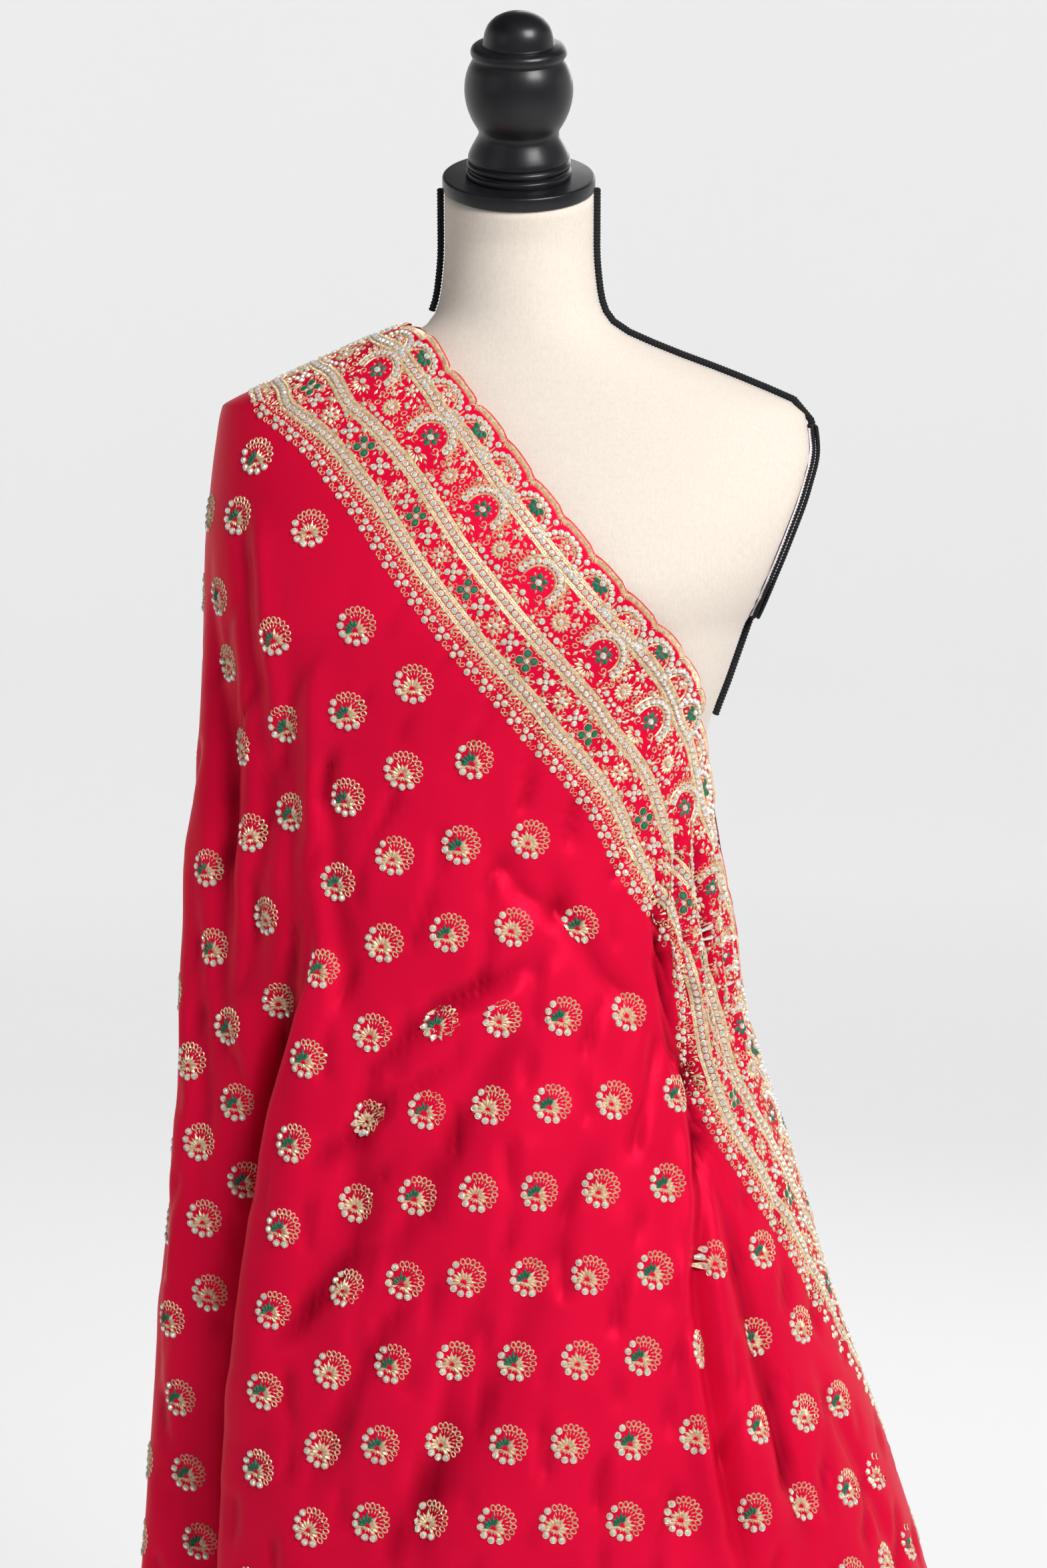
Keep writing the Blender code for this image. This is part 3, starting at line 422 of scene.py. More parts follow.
def gimp(name, route, wide, across, closed=False):
    """Two rows of small slanted knots along a route; across is the direction of its width."""
    route, across = np.asarray(route, float), np.asarray(across, float)
    if closed:
        route = np.vstack([route, route[:1]])
    run = run_along(route)
    count = max(2, int(run[-1] / KNOT_STEP))
    at = (np.arange(count) + 0.5) * run[-1] / count
    ways = np.gradient(route, run, axis=0)
    middle = np.column_stack([np.interp(at, run, route[:, k]) for k in range(3)])
    along = unit(np.column_stack([np.interp(at, run, ways[:, k]) for k in range(3)]))
    flat = unit(across - along * (along @ across)[:, None])
    out = np.cross(along, flat)
    knot = [(-1.0, 0.0, 0.0)]
    for lengthwise, size in KNOT_RINGS:
        for a in np.arange(KNOT_SIDES) * 2 * math.pi / KNOT_SIDES:
            knot.append((lengthwise, size * math.cos(a), size * math.sin(a)))
    knot = np.array([*knot, (1.0, 0.0, 0.0)])
    last = len(knot) - 1
    knot_faces = []
    for a in range(KNOT_SIDES):
        b = (a + 1) % KNOT_SIDES
        knot_faces += [(0, 1 + b, 1 + a), (last, last - KNOT_SIDES + a, last - KNOT_SIDES + b)]
        knot_faces += [(n + a, n + b, n + b + KNOT_SIDES, n + a + KNOT_SIDES) for n in (1, 1 + KNOT_SIDES)]
    points, faces = [], []
    for row in (-1, 1):
        lean = along * KNOT_ALONG + flat * KNOT_ASIDE * row
        broad = flat * KNOT_ALONG - along * KNOT_ASIDE * row
        centre = middle + flat * row * wide * STRAND_OUT
        for k in range(count):
            start = len(points) * len(knot)
            long_half, broad_half = lean[k] * wide * KNOT_LONG, broad[k] * wide * KNOT_BROAD
            high_half = out[k] * BRAID_RADIUS * KNOT_HIGH
            points.append(centre[k] + knot @ np.array([long_half, broad_half, high_half]))
            faces += [tuple(start + i for i in face) for face in knot_faces]
    piece = new_piece(name, np.vstack(points), faces, gimp_thread)
    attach(piece, "root")
    return piece


def hoop_point(level, way):
    """Point of the armhole plate's edge at a level, on the back (1) or front (-1)."""
    half, full = torso_widths(level)
    reach = math.sqrt(max(0.0, 1 - (half / full) ** 2))
    deep = float(table_value(FORM_RINGS, 3 if way > 0 else 2, level))
    return (half + HOOP_OUT - HOOP_PRESSED, way * (deep * reach - HOOP_INSET), level)


gimp_thread = tinted("black_gimp", (0.008, 0.008, 0.009), 0.66, Specular_IOR_Level=0.3, Sheen_Weight=0.06)
colour_by(gimp_thread, noise_of(gimp_thread, 900.0, 3.0), (0.004, 0.004, 0.005), (0.018, 0.018, 0.020))
bump_by(gimp_thread, threads_of(gimp_thread, 0.0005, (0, math.pi / 4, 0)), 0.00012, 0.8)

neck_braid = gimp("gimp_neck_left", braid_route(-1, LEFT_BRAID_FOOT, math.inf), NECK_BRAID_WIDTH, (0, 1, 0))
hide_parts("braid_neck_left")
tip_out = float(table_value(FORM_RINGS, 1, PLATE_TOP)) + HOOP_OUT
tip = [(tip_out - inside, 0.0, PLATE_TOP - below) for inside, below in TIP_WAY]
shoulder_route = np.vstack([tip, braid_route(1, SHOULDER_BRAID_FOOT, math.inf)])
shoulder_braid = gimp("gimp_neck_shoulder", shoulder_route, SHOULDER_BRAID_WIDTH, (0, 1, 0))
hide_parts("braid_neck_shoulder")
hoop_levels = np.linspace(PLATE_FOOT + PLATE_INSET, PLATE_TOP - PLATE_INSET, HOOP_LEVELS)
hoop = [hoop_point(level, 1) for level in hoop_levels]
hoop += [hoop_point(level, -1) for level in hoop_levels[::-1]]
armhole_braid = gimp("gimp_armhole", hoop, SHOULDER_BRAID_WIDTH, (1, 0, 0), closed=True)
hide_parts("braid_armhole")
side_route = braid_route(1, SIDE_BRAID_FOOT, PLATE_FOOT + PLATE_INSET + SIDE_BRAID_LAP)
side_braid = gimp("gimp_side_right", side_route, SIDE_BRAID_WIDTH, (0, 1, 0))
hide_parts("braid_side_right")


# Satin sheets
# One length of heavy crimson satin, laid over the shoulder and drawn in at the other side of
# the waist. It is made here as three sheets, for the front, the left fall and the back.
CLOTH = 0.0006
SCALLOP_PITCH = 0.031
SCALLOP_DEPTH = 0.0045
BORDER_WIDTH = 0.122
UNDERLAP_STEP = 0.010
TIP_SQUARE = 0.075
TIP_SQUARE_FOOT = 1.120
TIP_SQUARE_TOP = 1.260
# Rings of the sari's outer face: height, reach to the left, right, front and back.
SARI_RINGS = [
    (0.055, 0.300, 0.385, 0.272, 0.264),
    (0.400, 0.270, 0.326, 0.226, 0.215),
    (0.611, 0.250, 0.271, 0.190, 0.178),
    (0.699, 0.245, 0.242, 0.176, 0.165),
    (0.779, 0.240, 0.213, 0.163, 0.154),
    (0.849, 0.233, 0.192, 0.152, 0.146),
    (0.903, 0.229, 0.175, 0.144, 0.138),
    (0.963, 0.224, 0.155, 0.134, 0.126),
    (1.009, 0.222, 0.1465, 0.128, 0.117),
    (1.039, 0.2200, 0.1440, 0.125, 0.112),
    (1.072, 0.2195, 0.1380, 0.122, 0.108),
    (1.114, 0.2130, 0.1335, 0.119, 0.105),
    (1.169, 0.2080, 0.1325, 0.1205, 0.106),
    (1.202, 0.2070, 0.1490, 0.1225, 0.107),
    (1.231, 0.2064, 0.1650, 0.1235, 0.108),
    (1.283, 0.2050, 0.1900, 0.1170, 0.110),
    (1.325, 0.2010, 0.2040, 0.1025, 0.108),
    (1.355, 0.1971, 0.2070, 0.0885, 0.099),
    (1.376, 0.1930, 0.2020, 0.0775, 0.088),
    (1.3825, 0.1830, 0.1900, 0.0740, 0.083),
    (1.3914, 0.1625, 0.1600, 0.0695, 0.077),
    (1.411, 0.1196, 0.1040, 0.0625, 0.067),
    (1.428, 0.0780, 0.0700, 0.0585, 0.062),
    (1.433, 0.0600, 0.0600, 0.0570, 0.0605),
]
# The border from the shoulder ridge round the front: scalloped edge angle and height,
# inner line angle and height.
BORDER_SECTIONS = [
    (180.0, 1.4330, 180.0, 1.3840),
    (124.0, 1.4240, 157.0, 1.3690),
    (105.4, 1.4040, 139.0, 1.3460),
    (98.0, 1.3810, 123.0, 1.3050),
    (86.8, 1.3330, 108.5, 1.2510),
    (74.1, 1.2900, 95.1, 1.2070),
    (62.0, 1.2580, 82.8, 1.1680),
    (45.4, 1.2240, 73.5, 1.1310),
    (21.5, 1.1720, 63.7, 1.0980),
    (17.5, 1.1460, 58.7, 1.0710),
    (12.4, 1.1170, 55.7, 1.0530),
    (7.2, 1.0730, 51.8, 1.0330),
    (5.3, 1.0400, 49.6, 1.0130),
    (3.6, 1.0090, 48.4, 0.9960),
    (1.8, 0.9870, 47.5, 0.9790),
    (0.0, 0.9610, 46.6, 0.9570),
    (-3.0, 0.9380, 44.0, 0.9200),
    (-7.0, 0.9080, 34.9, 0.8710),
    (-13.0, 0.8680, 26.0, 0.8180),
    (-18.0, 0.8250, 20.0, 0.7670),
    (-26.0, 0.7750, 12.0, 0.7180),
    (-35.0, 0.7200, 0.0, 0.6640),
    (-52.0, 0.6170, -19.0, 0.5600),
    (-66.0, 0.5100, -36.0, 0.4540),
    (-84.0, 0.3750, -57.0, 0.3200),
    (-103.0, 0.2200, -79.0, 0.1700),
    (-115.0, 0.1350, -92.0, 0.0950),
]
SECTION_ROWS = [(i, *row) for i, row in enumerate(BORDER_SECTIONS)]
# Angle of the border's edge by height.
EDGE_ROWS = [(row[1], row[0]) for row in BORDER_SECTIONS]
BACK_SECTION_COUNT = 20
# Height of the hem by angle.
HEM = [
    (-140.0, 0.060), (60.0, 0.060), (90.0, 0.080), (115.0, 0.135), (140.0, 0.235), (165.0, 0.330),
    (182.0, 0.350), (200.0, 0.325), (225.0, 0.215), (250.0, 0.110), (275.0, 0.070), (300.0, 0.060),
    (400.0, 0.060),
]
# Where the front and the back stretch roll under over the left fall: height, angle, fold size.
ROLL_TOP = 1.345
FRONT_ROLL = [
    (0.060, 148.0, 1.00), (0.400, 146.0, 1.00), (0.633, 141.5, 1.00), (0.710, 139.7, 1.00),
    (0.788, 135.2, 1.00), (0.859, 133.3, 0.92), (0.930, 129.7, 0.70), (0.990, 124.5, 0.36),
    (1.041, 120.5, 0.10), (1.090, 121.5, 0.00), (1.200, 130.0, 0.00), (ROLL_TOP, 140.0, 0.00),
]
BACK_ROLL = [
    (0.060, 214.0, 0.90), (0.400, 216.0, 0.90), (0.620, 220.0, 0.80), (0.760, 224.0, 0.55),
    (0.880, 228.0, 0.20), (0.960, 229.0, 0.00), (1.200, 227.0, 0.00), (ROLL_TOP, 219.0, 0.00),
]
ROLLS = ((FRONT_ROLL, 1), (BACK_ROLL, -1))
ROLL_ANGLE = 4.0
ROLL_LIP = 0.013
ROLL_DEPTH = 0.036
ROLL_RECOVER = 26.0
ROLL_SPREAD = 6.0
ROLL_SPREAD_FOOT = 0.990
ROLL_SPREAD_RISE = 0.200
GROOVE_PLACE = 7.0
GROOVE_WIDTH = 4.2
GROOVE_DEPTH = 0.034
# Soft folds: top angle and height, low angle and height, top and low width, top and low
# depth. A positive depth stands out, a negative one sinks in.
FOLDS = [
    (150.0, 1.290, 152.0, 0.880, 0.012, 0.018, -0.006, -0.012),
    (134.0, 1.180, 141.0, 0.960, 0.014, 0.020, -0.008, -0.010),
    (166.0, 1.260, 163.0, 0.700, 0.016, 0.022, 0.004, 0.008),
    (116.0, 1.060, 138.0, 0.700, 0.020, 0.026, 0.006, 0.010),
    (74.0, 1.010, 118.0, 0.800, 0.016, 0.022, -0.004, -0.007),
    (62.0, 0.950, 112.0, 0.640, 0.018, 0.026, -0.004, -0.008),
    (41.0, 0.930, 44.0, 0.640, 0.007, 0.010, -0.005, -0.007),
    (47.0, 0.930, 52.0, 0.620, 0.010, 0.014, 0.003, 0.005),
    (12.0, 1.130, 9.0, 0.930, 0.006, 0.006, -0.003, -0.004),
    (21.0, 1.120, 17.0, 0.920, 0.006, 0.006, 0.003, 0.004),
    (29.0, 1.110, 25.0, 0.910, 0.006, 0.006, -0.003, -0.004),
    (37.0, 1.090, 33.0, 0.920, 0.006, 0.006, 0.003, 0.004),
    (45.0, 1.080, 41.0, 0.930, 0.006, 0.007, -0.004, -0.004),
    (166.0, 0.900, 170.0, 0.060, 0.018, 0.030, 0.000, 0.019),
    (157.0, 0.800, 159.0, 0.060, 0.016, 0.024, 0.000, -0.019),
    (124.0, 0.760, 132.0, 0.060, 0.022, 0.034, 0.000, 0.030),
    (110.0, 0.700, 117.0, 0.060, 0.022, 0.030, 0.000, -0.032),
    (96.0, 0.720, 101.0, 0.060, 0.022, 0.034, 0.000, 0.027),
    (80.0, 0.660, 84.0, 0.060, 0.022, 0.030, 0.000, -0.035),
    (65.0, 0.700, 68.0, 0.060, 0.022, 0.034, 0.000, 0.030),
    (52.0, 0.620, 52.0, 0.060, 0.020, 0.030, 0.000, -0.032),
    (34.0, 0.700, 36.0, 0.060, 0.022, 0.034, 0.000, 0.027),
    (20.0, 0.600, 20.0, 0.060, 0.020, 0.030, 0.000, -0.030),
    (4.0, 0.600, 4.0, 0.060, 0.022, 0.034, 0.000, 0.024),
    (-14.0, 0.520, -12.0, 0.060, 0.020, 0.030, 0.000, -0.027),
    (-30.0, 0.500, -28.0, 0.060, 0.022, 0.032, 0.000, 0.024),
    (-48.0, 0.420, -46.0, 0.060, 0.020, 0.030, 0.000, -0.024),
    (-64.0, 0.360, -63.0, 0.060, 0.022, 0.030, 0.000, 0.019),
    (208.0, 1.280, 206.0, 0.840, 0.014, 0.020, -0.006, -0.010),
    (196.0, 1.240, 197.0, 0.700, 0.016, 0.022, 0.003, 0.007),
    (194.0, 0.760, 192.0, 0.060, 0.018, 0.028, 0.000, -0.016),
    (240.0, 1.000, 232.0, 0.660, 0.020, 0.026, 0.005, 0.009),
    (296.0, 1.000, 246.0, 0.700, 0.016, 0.024, -0.004, -0.008),
    (300.0, 0.930, 256.0, 0.600, 0.018, 0.024, -0.004, -0.007),
    (246.0, 0.700, 232.0, 0.060, 0.022, 0.034, 0.000, 0.027),
    (258.0, 0.660, 246.0, 0.060, 0.022, 0.030, 0.000, -0.030),
    (272.0, 0.700, 262.0, 0.060, 0.022, 0.034, 0.000, 0.024),
    (290.0, 0.760, 276.0, 0.200, 0.020, 0.028, 0.000, -0.019),
]
FOLD_FADE = 0.22
UNDERLAP_START = 0.040
UNDERLAP_RUN = 0.032
UNDERLAP_TOP = 1.060
UNDERLAP_RISE = 0.060
TUCK_ANGLE = 2.0
# The back stretch ends under the front one: height, angle.
BACK_END = [
    (0.055, 254.0), (0.200, 276.0), (0.375, 298.0), (0.510, 315.0), (0.617, 328.0), (0.762, 340.0),
]
SETTLE_SPAN = 8.0
SETTLE_SHORT = 0.30
SETTLE_BLEND = 0.50
# Creases: width, depth, and the angle and height of each point on the way.
CREASES = [
    (0.0101, -0.0051, [
        (64.3, 1.052), (81.7, 1.018), (93.7, 1), (107.5, 0.959), (114.7, 0.878), (127.5, 0.791),
    ]),
    (0.0101, 0.0027, [(66, 1.038), (83, 1.004), (95, 0.986), (106, 0.948), (112.5, 0.87)]),
    (0.0085, -0.0037, [(87.4, 0.976), (101.5, 0.951), (115.6, 0.913), (124, 0.88)]),
    (0.0093, -0.0048, [(100.4, 0.919), (109.7, 0.892), (114.1, 0.847), (124.4, 0.797), (131.2, 0.77)]),
    (0.0101, 0.0027, [(97, 0.9), (106, 0.873), (111, 0.83), (121, 0.782)]),
    (0.0093, -0.0034, [(96, 0.85), (108, 0.8), (118, 0.735), (126, 0.66)]),
    (0.0101, -0.0031, [(84, 0.87), (96, 0.79), (104, 0.69), (110, 0.59)]),
    (0.0076, -0.0068, [(38, 1), (40.3, 0.947), (52.6, 0.822), (56.6, 0.695), (58, 0.56)]),
    (0.0085, 0.0037, [(42, 0.95), (55.5, 0.826), (59.6, 0.7), (61, 0.58)]),
    (0.0119, -0.0051, [(128.2, 1.24), (127.3, 1.129), (126.5, 1.035)]),
    (0.0101, -0.0041, [(121, 1.18), (119.9, 1.141), (115.7, 1.08), (113.4, 1.017), (112, 0.96)]),
    (0.0119, 0.0031, [(124, 1.23), (123.5, 1.15), (120, 1.07)]),
    (0.0032, -0.0034, [(42, 1.118), (44.5, 1.049), (44.5, 0.972), (46, 0.93)]),
    (0.0032, 0.0021, [(38.5, 1.122), (41.5, 1.049), (41.5, 0.96)]),
    (0.0032, -0.0039, [(34.5, 1.128), (37.5, 1.049), (37.5, 0.95)]),
    (0.0032, 0.0023, [(30.5, 1.128), (33.5, 1.049), (33.5, 0.945)]),
    (0.0032, -0.0034, [(26, 1.13), (29, 1.049), (29, 0.94)]),
    (0.0032, 0.0021, [(21.5, 1.13), (24, 1.045), (24.5, 0.94)]),
    (0.0032, -0.0039, [(17.5, 1.125), (19.5, 1.045), (20, 0.93)]),
    (0.0032, 0.0018, [(13.5, 1.11), (15, 1.04), (15.5, 0.93)]),
    (0.0032, -0.0032, [(9.5, 1.08), (10.5, 1.02), (11, 0.93)]),
    (0.0085, -0.0037, [(72, 1.1), (68, 1.06), (60, 1.02), (50, 0.99)]),
    (0.0085, -0.0031, [(84, 1.11), (76, 1.075), (66, 1.05)]),
    (0.0101, -0.0037, [(146, 1.33), (141, 1.27), (138, 1.19), (137, 1.12)]),
    (0.0101, 0.0027, [(141, 1.325), (136.5, 1.26), (133.5, 1.19)]),
    (0.0085, -0.0041, [(160, 1.3), (157, 1.2), (152, 1.11), (147, 1.03)]),
    (0.0101, -0.0044, [(164, 1.13), (160, 1.03), (156, 0.93), (155, 0.83)]),
    (0.0101, 0.0031, [(160, 1.09), (156, 1), (151.5, 0.9)]),
    (0.0101, -0.0041, [(172, 1.02), (170, 0.9), (167, 0.78), (166, 0.66)]),
    (0.0101, -0.0034, [(182, 1.33), (184, 1.2), (181, 1.06), (183, 0.9)]),
    (0.0101, -0.0041, [(198, 1.32), (203, 1.22), (206, 1.12), (207, 1)]),
    (0.0101, -0.0051, [(300, 1.04), (283, 1.008), (268, 0.985), (254, 0.944), (245, 0.865)]),
    (0.0101, 0.0027, [(298, 1.026), (281, 0.994), (267, 0.97), (256, 0.93)]),
    (0.0085, -0.0037, [(276, 0.966), (262, 0.94), (249, 0.9), (240, 0.86)]),
    (0.0093, -0.0044, [(264, 0.905), (254, 0.872), (248, 0.83), (238, 0.78)]),
    (0.0093, -0.0034, [(268, 0.84), (257, 0.78), (248, 0.72), (240, 0.64)]),
    (0.0119, -0.0044, [(232, 1.24), (234, 1.13), (235, 1.03)]),
    (0.0101, -0.0037, [(244, 1.18), (246, 1.09), (248, 1.01), (247, 0.95)]),
    (0.0032, -0.0034, [(316, 1.105), (313, 1.049), (313, 0.972)]),
    (0.0032, 0.0021, [(320.5, 1.11), (317.5, 1.049), (317.5, 0.96)]),
    (0.0032, -0.0037, [(325, 1.118), (322, 1.049), (322, 0.95)]),
    (0.0032, 0.0021, [(329.5, 1.125), (327, 1.049), (326.5, 0.95)]),
    (0.0032, -0.0037, [(334, 1.125), (331.5, 1.045), (331, 0.95)]),
    (0.0032, -0.0034, [(343, 1.11), (341, 1.045), (340.5, 0.96)]),
    (0.0101, -0.0037, [(30, 0.78), (24, 0.69), (20, 0.6), (17, 0.5)]),
    (0.0101, -0.0037, [(-14, 0.56), (-18, 0.47), (-20, 0.37)]),
]
CREASE_FADE = 0.30
CREASE_LIFT = 1.3
CREASE_NEAR = (12.0, 0.03)
# Puckers that the stitched sprigs draw up between their columns: dents with a raised side,
# calmer near the shoulder and near the hem.
SPRIG_STEP = 0.0418
SPRIG_DROP = 0.0525
SPRIG_LEAN = 0.0133
PUCKER_MIDDLE = 0.73
PUCKER_WIDTH = 0.0060
PUCKER_DEPTH = 0.0030
PUCKER_SIDE = 0.35
PUCKER_SIDE_WIDTH = 0.009
# Waves of their strength and of their place: size, rate, shift from column to column.
PUCKER_WAVES = ((0.42, 1.0, 2.4), (0.38, 0.43, 1.7))
PUCKER_WANDER = (0.0035, 0.5, 3.3)
PUCKER_TOP, PUCKER_TOP_FADE = 1.30, 0.15
PUCKER_FOOT, PUCKER_FOOT_FADE = 0.25, 0.3
SCALLOP_SHIFT = -0.15
RIDGE_TRIM = 0.0065
RIDGE_TRIM_SPAN = 0.55
RIM_GAP = 0.0008
RUN_FINENESS = 30
BORDER_ROWS = 20
FIELD_ROWS = 158
FIELD_ROW_BIAS = 1.18
FIELD_ROUNDS = 5
ROLL_COLUMNS = 26
# Steps of angle and height by which the cloth's slope is measured.
DRAPE_STEP = (0.3, 0.0015)
FACING_STEP = (0.12, 0.0006)
NEVER_ZERO = 1e-15
# Painted shade: the satin's colour is darkened where the cloth lies low among its folds and
# creases, and in the groove beside each rolled edge. Its values: how far round a point its level
# is compared, how deep a point must lie for full shade, and the tint of the painted shade.
VALLEY_REACH = (5, 4)
VALLEY_DEPTH = 0.0065
VALLEY_SHADE_TINT = (0.22, 0.12, 0.16, 1.0)


def ease(t):
    """Smooth step from 0 to 1."""
    t = np.clip(t, 0.0, 1.0)
    return t * t * (3 - 2 * t)


def sari_ring(angle, height):
    """Plain drape of the cloth before folds; angle in degrees."""
    left, right, front, back = (table_value(SARI_RINGS, k, height) for k in (1, 2, 3, 4))
    turn = np.radians(angle)
    square = ease((height - TIP_SQUARE_FOOT) / (TIP_SQUARE_TOP - TIP_SQUARE_FOOT))
    square = 1 + TIP_SQUARE * square * np.sin(2 * turn) ** 2 * (np.cos(turn) < 0)
    x = (right - left) / 2 + (right + left) / 2 * np.cos(turn) * square
    y = -np.where(np.sin(turn) >= 0, front, back) * np.sin(turn) * square
    return np.stack([x, y, np.broadcast_to(height, np.shape(x))], axis=-1)


def arc_per_degree(angle, height):
    """Metres of ring for one degree at a point of the drape."""
    across = sari_ring(angle + 0.5, height) - sari_ring(angle - 0.5, height)
    return np.linalg.norm(across, axis=-1)


def fold_height(angle, height):
    """How far the soft folds lift the cloth at a point of the drape."""
    scale = arc_per_degree(angle, height)
    total = np.zeros(np.shape(height))
    for top_angle, top, low_angle, low, wide_top, wide_low, deep_top, deep_low in FOLDS:
        t = (top - height) / (top - low)
        line = top_angle + (low_angle - top_angle) * np.clip(t, 0, 1)
        width = wide_top + (wide_low - wide_top) * np.clip(t, 0, 1)
        depth = deep_top + (deep_low - deep_top) * np.clip(t, 0, 1)
        end = 1.0 if low <= 0.2 else ease((1 - t) / FOLD_FADE)
        total += depth * ease(t / FOLD_FADE) * end * np.exp(-(((angle - line) * scale / width) ** 2))
    return total


def crease_height(angle, height):
    """How far the sharper creases lift the cloth at a point of the drape."""
    scale = arc_per_degree(angle, height)
    total = np.zeros(np.shape(height))
    for width, depth, way in CREASES:
        way = np.array(way)
        near = np.ones(np.shape(height), bool)
        for k, value in enumerate((angle, height)):
            near &= (value < way[:, k].max() + CREASE_NEAR[k]) & (value > way[:, k].min() - CREASE_NEAR[k])
        if not np.any(near):
            continue
        a, h, s = angle[near], height[near], scale[near]
        nearest, share = np.full(a.shape, 1.0), np.zeros(a.shape)
        for k in range(len(way) - 1):
            dx, dz = (way[k + 1, 0] - way[k, 0]) * s, way[k + 1, 1] - way[k, 1]
            px, pz = (a - way[k, 0]) * s, h - way[k, 1]
            t = np.clip((px * dx + pz * dz) / (dx * dx + dz * dz), 0, 1)
            gap = np.hypot(px - t * dx, pz - t * dz)
            share = np.where(gap < nearest, (k + t) / (len(way) - 1), share)
            nearest = np.minimum(gap, nearest)
        fade = ease(share / CREASE_FADE) * ease((1 - share) / CREASE_FADE)
        total[near] += CREASE_LIFT * depth * fade * np.exp(-((nearest / width) ** 2))
    return total


RUN_ANGLES = np.linspace(-150.0, 400.0, 1101)
RUN_HEIGHTS = np.linspace(0.055, 1.433, 120)
ring_steps = np.linalg.norm(np.diff(sari_ring(RUN_ANGLES[None, :], RUN_HEIGHTS[:, None]), axis=1), axis=2)
RING_RUN = np.concatenate([np.zeros((len(RUN_HEIGHTS), 1)), -np.cumsum(ring_steps, axis=1)], axis=1)
RING_RUN -= RING_RUN[:, [int(np.searchsorted(RUN_ANGLES, 90.0))]]


def ring_run(angle, height):
    """Metres round the drape from the middle of the front, to the right above zero."""
    row = np.clip((height - RUN_HEIGHTS[0]) / (RUN_HEIGHTS[1] - RUN_HEIGHTS[0]), 0, len(RUN_HEIGHTS) - 1.001)
    column = np.clip((angle - RUN_ANGLES[0]) / (RUN_ANGLES[1] - RUN_ANGLES[0]), 0, len(RUN_ANGLES) - 1.001)
    r, c = row.astype(int), column.astype(int)
    fr, fc = row - r, column - c
    low = RING_RUN[r, c] * (1 - fc) + RING_RUN[r, c + 1] * fc
    high = RING_RUN[r + 1, c] * (1 - fc) + RING_RUN[r + 1, c + 1] * fc
    return low * (1 - fr) + high * fr


def pucker_height(angle, height):
    """Short uneven dents between the columns of sprigs."""
    leaning = ring_run(angle, height) + SPRIG_LEAN / SPRIG_DROP * (PUCKER_MIDDLE - height)
    column = leaning / SPRIG_STEP + 0.5
    nearest = np.round(column)
    across = (column - nearest) * SPRIG_STEP
    along = height / SPRIG_DROP * 2 * math.pi
    first, second = (size * np.sin(along * rate + nearest * shift) for size, rate, shift in PUCKER_WAVES)
    strength = ease(0.5 + first + second)
    size, rate, shift = PUCKER_WANDER
    split = size * np.sin(along * rate + nearest * shift)
    dent = np.exp(-(((across - split) / PUCKER_WIDTH) ** 2))
    side = np.exp(-(((across + split * 2) / PUCKER_SIDE_WIDTH) ** 2))
    calm = ease((PUCKER_TOP - height) / PUCKER_TOP_FADE) * ease((height - PUCKER_FOOT) / PUCKER_FOOT_FADE)
    return -PUCKER_DEPTH * strength * (dent - PUCKER_SIDE * side) * calm


def groove_share(angle, height, rows, way):
    """How deep a place lies in the groove beside a rolled edge, 0 to 1."""
    past = way * (angle - table_value(rows, 1, height))
    return np.exp(-(((past - GROOVE_PLACE) / GROOVE_WIDTH) ** 2)) * ease(past / ROLL_ANGLE + 0.5)


def roll(angle, height, rows, way):
    """Sideways and outward move where a stretch rolls under at the left fall."""
    line = table_value(rows, 1, height)
    size = table_value(rows, 2, height)
    phase = way * (angle - line) / ROLL_ANGLE + 0.5
    inside = (phase > 0) & (phase < 1)
    sideways = np.where(inside, way * ROLL_LIP * np.sin(2 * math.pi * phase), 0.0)
    past = (phase - 1) * ROLL_ANGLE / ROLL_RECOVER
    sink = -ROLL_DEPTH * ease(phase) * (1 - ease(past))
    sink = sink - GROOVE_DEPTH * groove_share(angle, height, rows, way)
    return sideways * size**1.5, sink * size


def under_share(angle, height):
    """How fully the back stretch lies under the front one, 0 to 1."""
    reach = (angle - table_value(EDGE_ROWS, 1, height) - 360) * arc_per_degree(angle, height)
    covered = ease((reach + UNDERLAP_START) / UNDERLAP_RUN) * ease((UNDERLAP_TOP - height) / UNDERLAP_RISE)
    return np.where(angle > 180, covered, 0.0)


def drape_moves(angle, height):
    """How far folds and rolled edges move the cloth outward and sideways."""
    out = fold_height(angle, height) + crease_height(angle, height) + pucker_height(angle, height)
    covered = under_share(angle, height)
    if np.any(covered > 0):
        out = out * (1 - covered) + covered * (fold_height(angle - 360, height) - UNDERLAP_STEP)
    aside = 0.0
    for rows, way in ROLLS:
        sideways, sink = roll(angle, height, rows, way)
        out, aside = out + sink, aside + sideways
    return out, aside


def draped(angle, height):
    """Point of the cloth's outer face, folds and rolled edges included."""
    angle, height = np.broadcast_arrays(np.asarray(angle, float), np.asarray(height, float))
    out, aside = drape_moves(angle, height)
    across, down = DRAPE_STEP
    around = sari_ring(angle + across, height) - sari_ring(angle - across, height)
    up = sari_ring(angle, height + down) - sari_ring(angle, height - down)
    normal = unit(np.cross(up, around))
    return sari_ring(angle, height) + normal * out[..., None] + unit(around) * aside[..., None]


def border_point(place, across, mirrored=False):
    """Angle and height in the border: across is 0 at the scalloped edge, 1 at the inner line."""
    edge = [table_value(SECTION_ROWS, k, place) for k in (1, 2)]
    inner = [table_value(SECTION_ROWS, k, place) for k in (3, 4)]
    angle, height = (start + (end - start) * across for start, end in zip(edge, inner))
    return np.where(mirrored, 360 - angle, angle), height


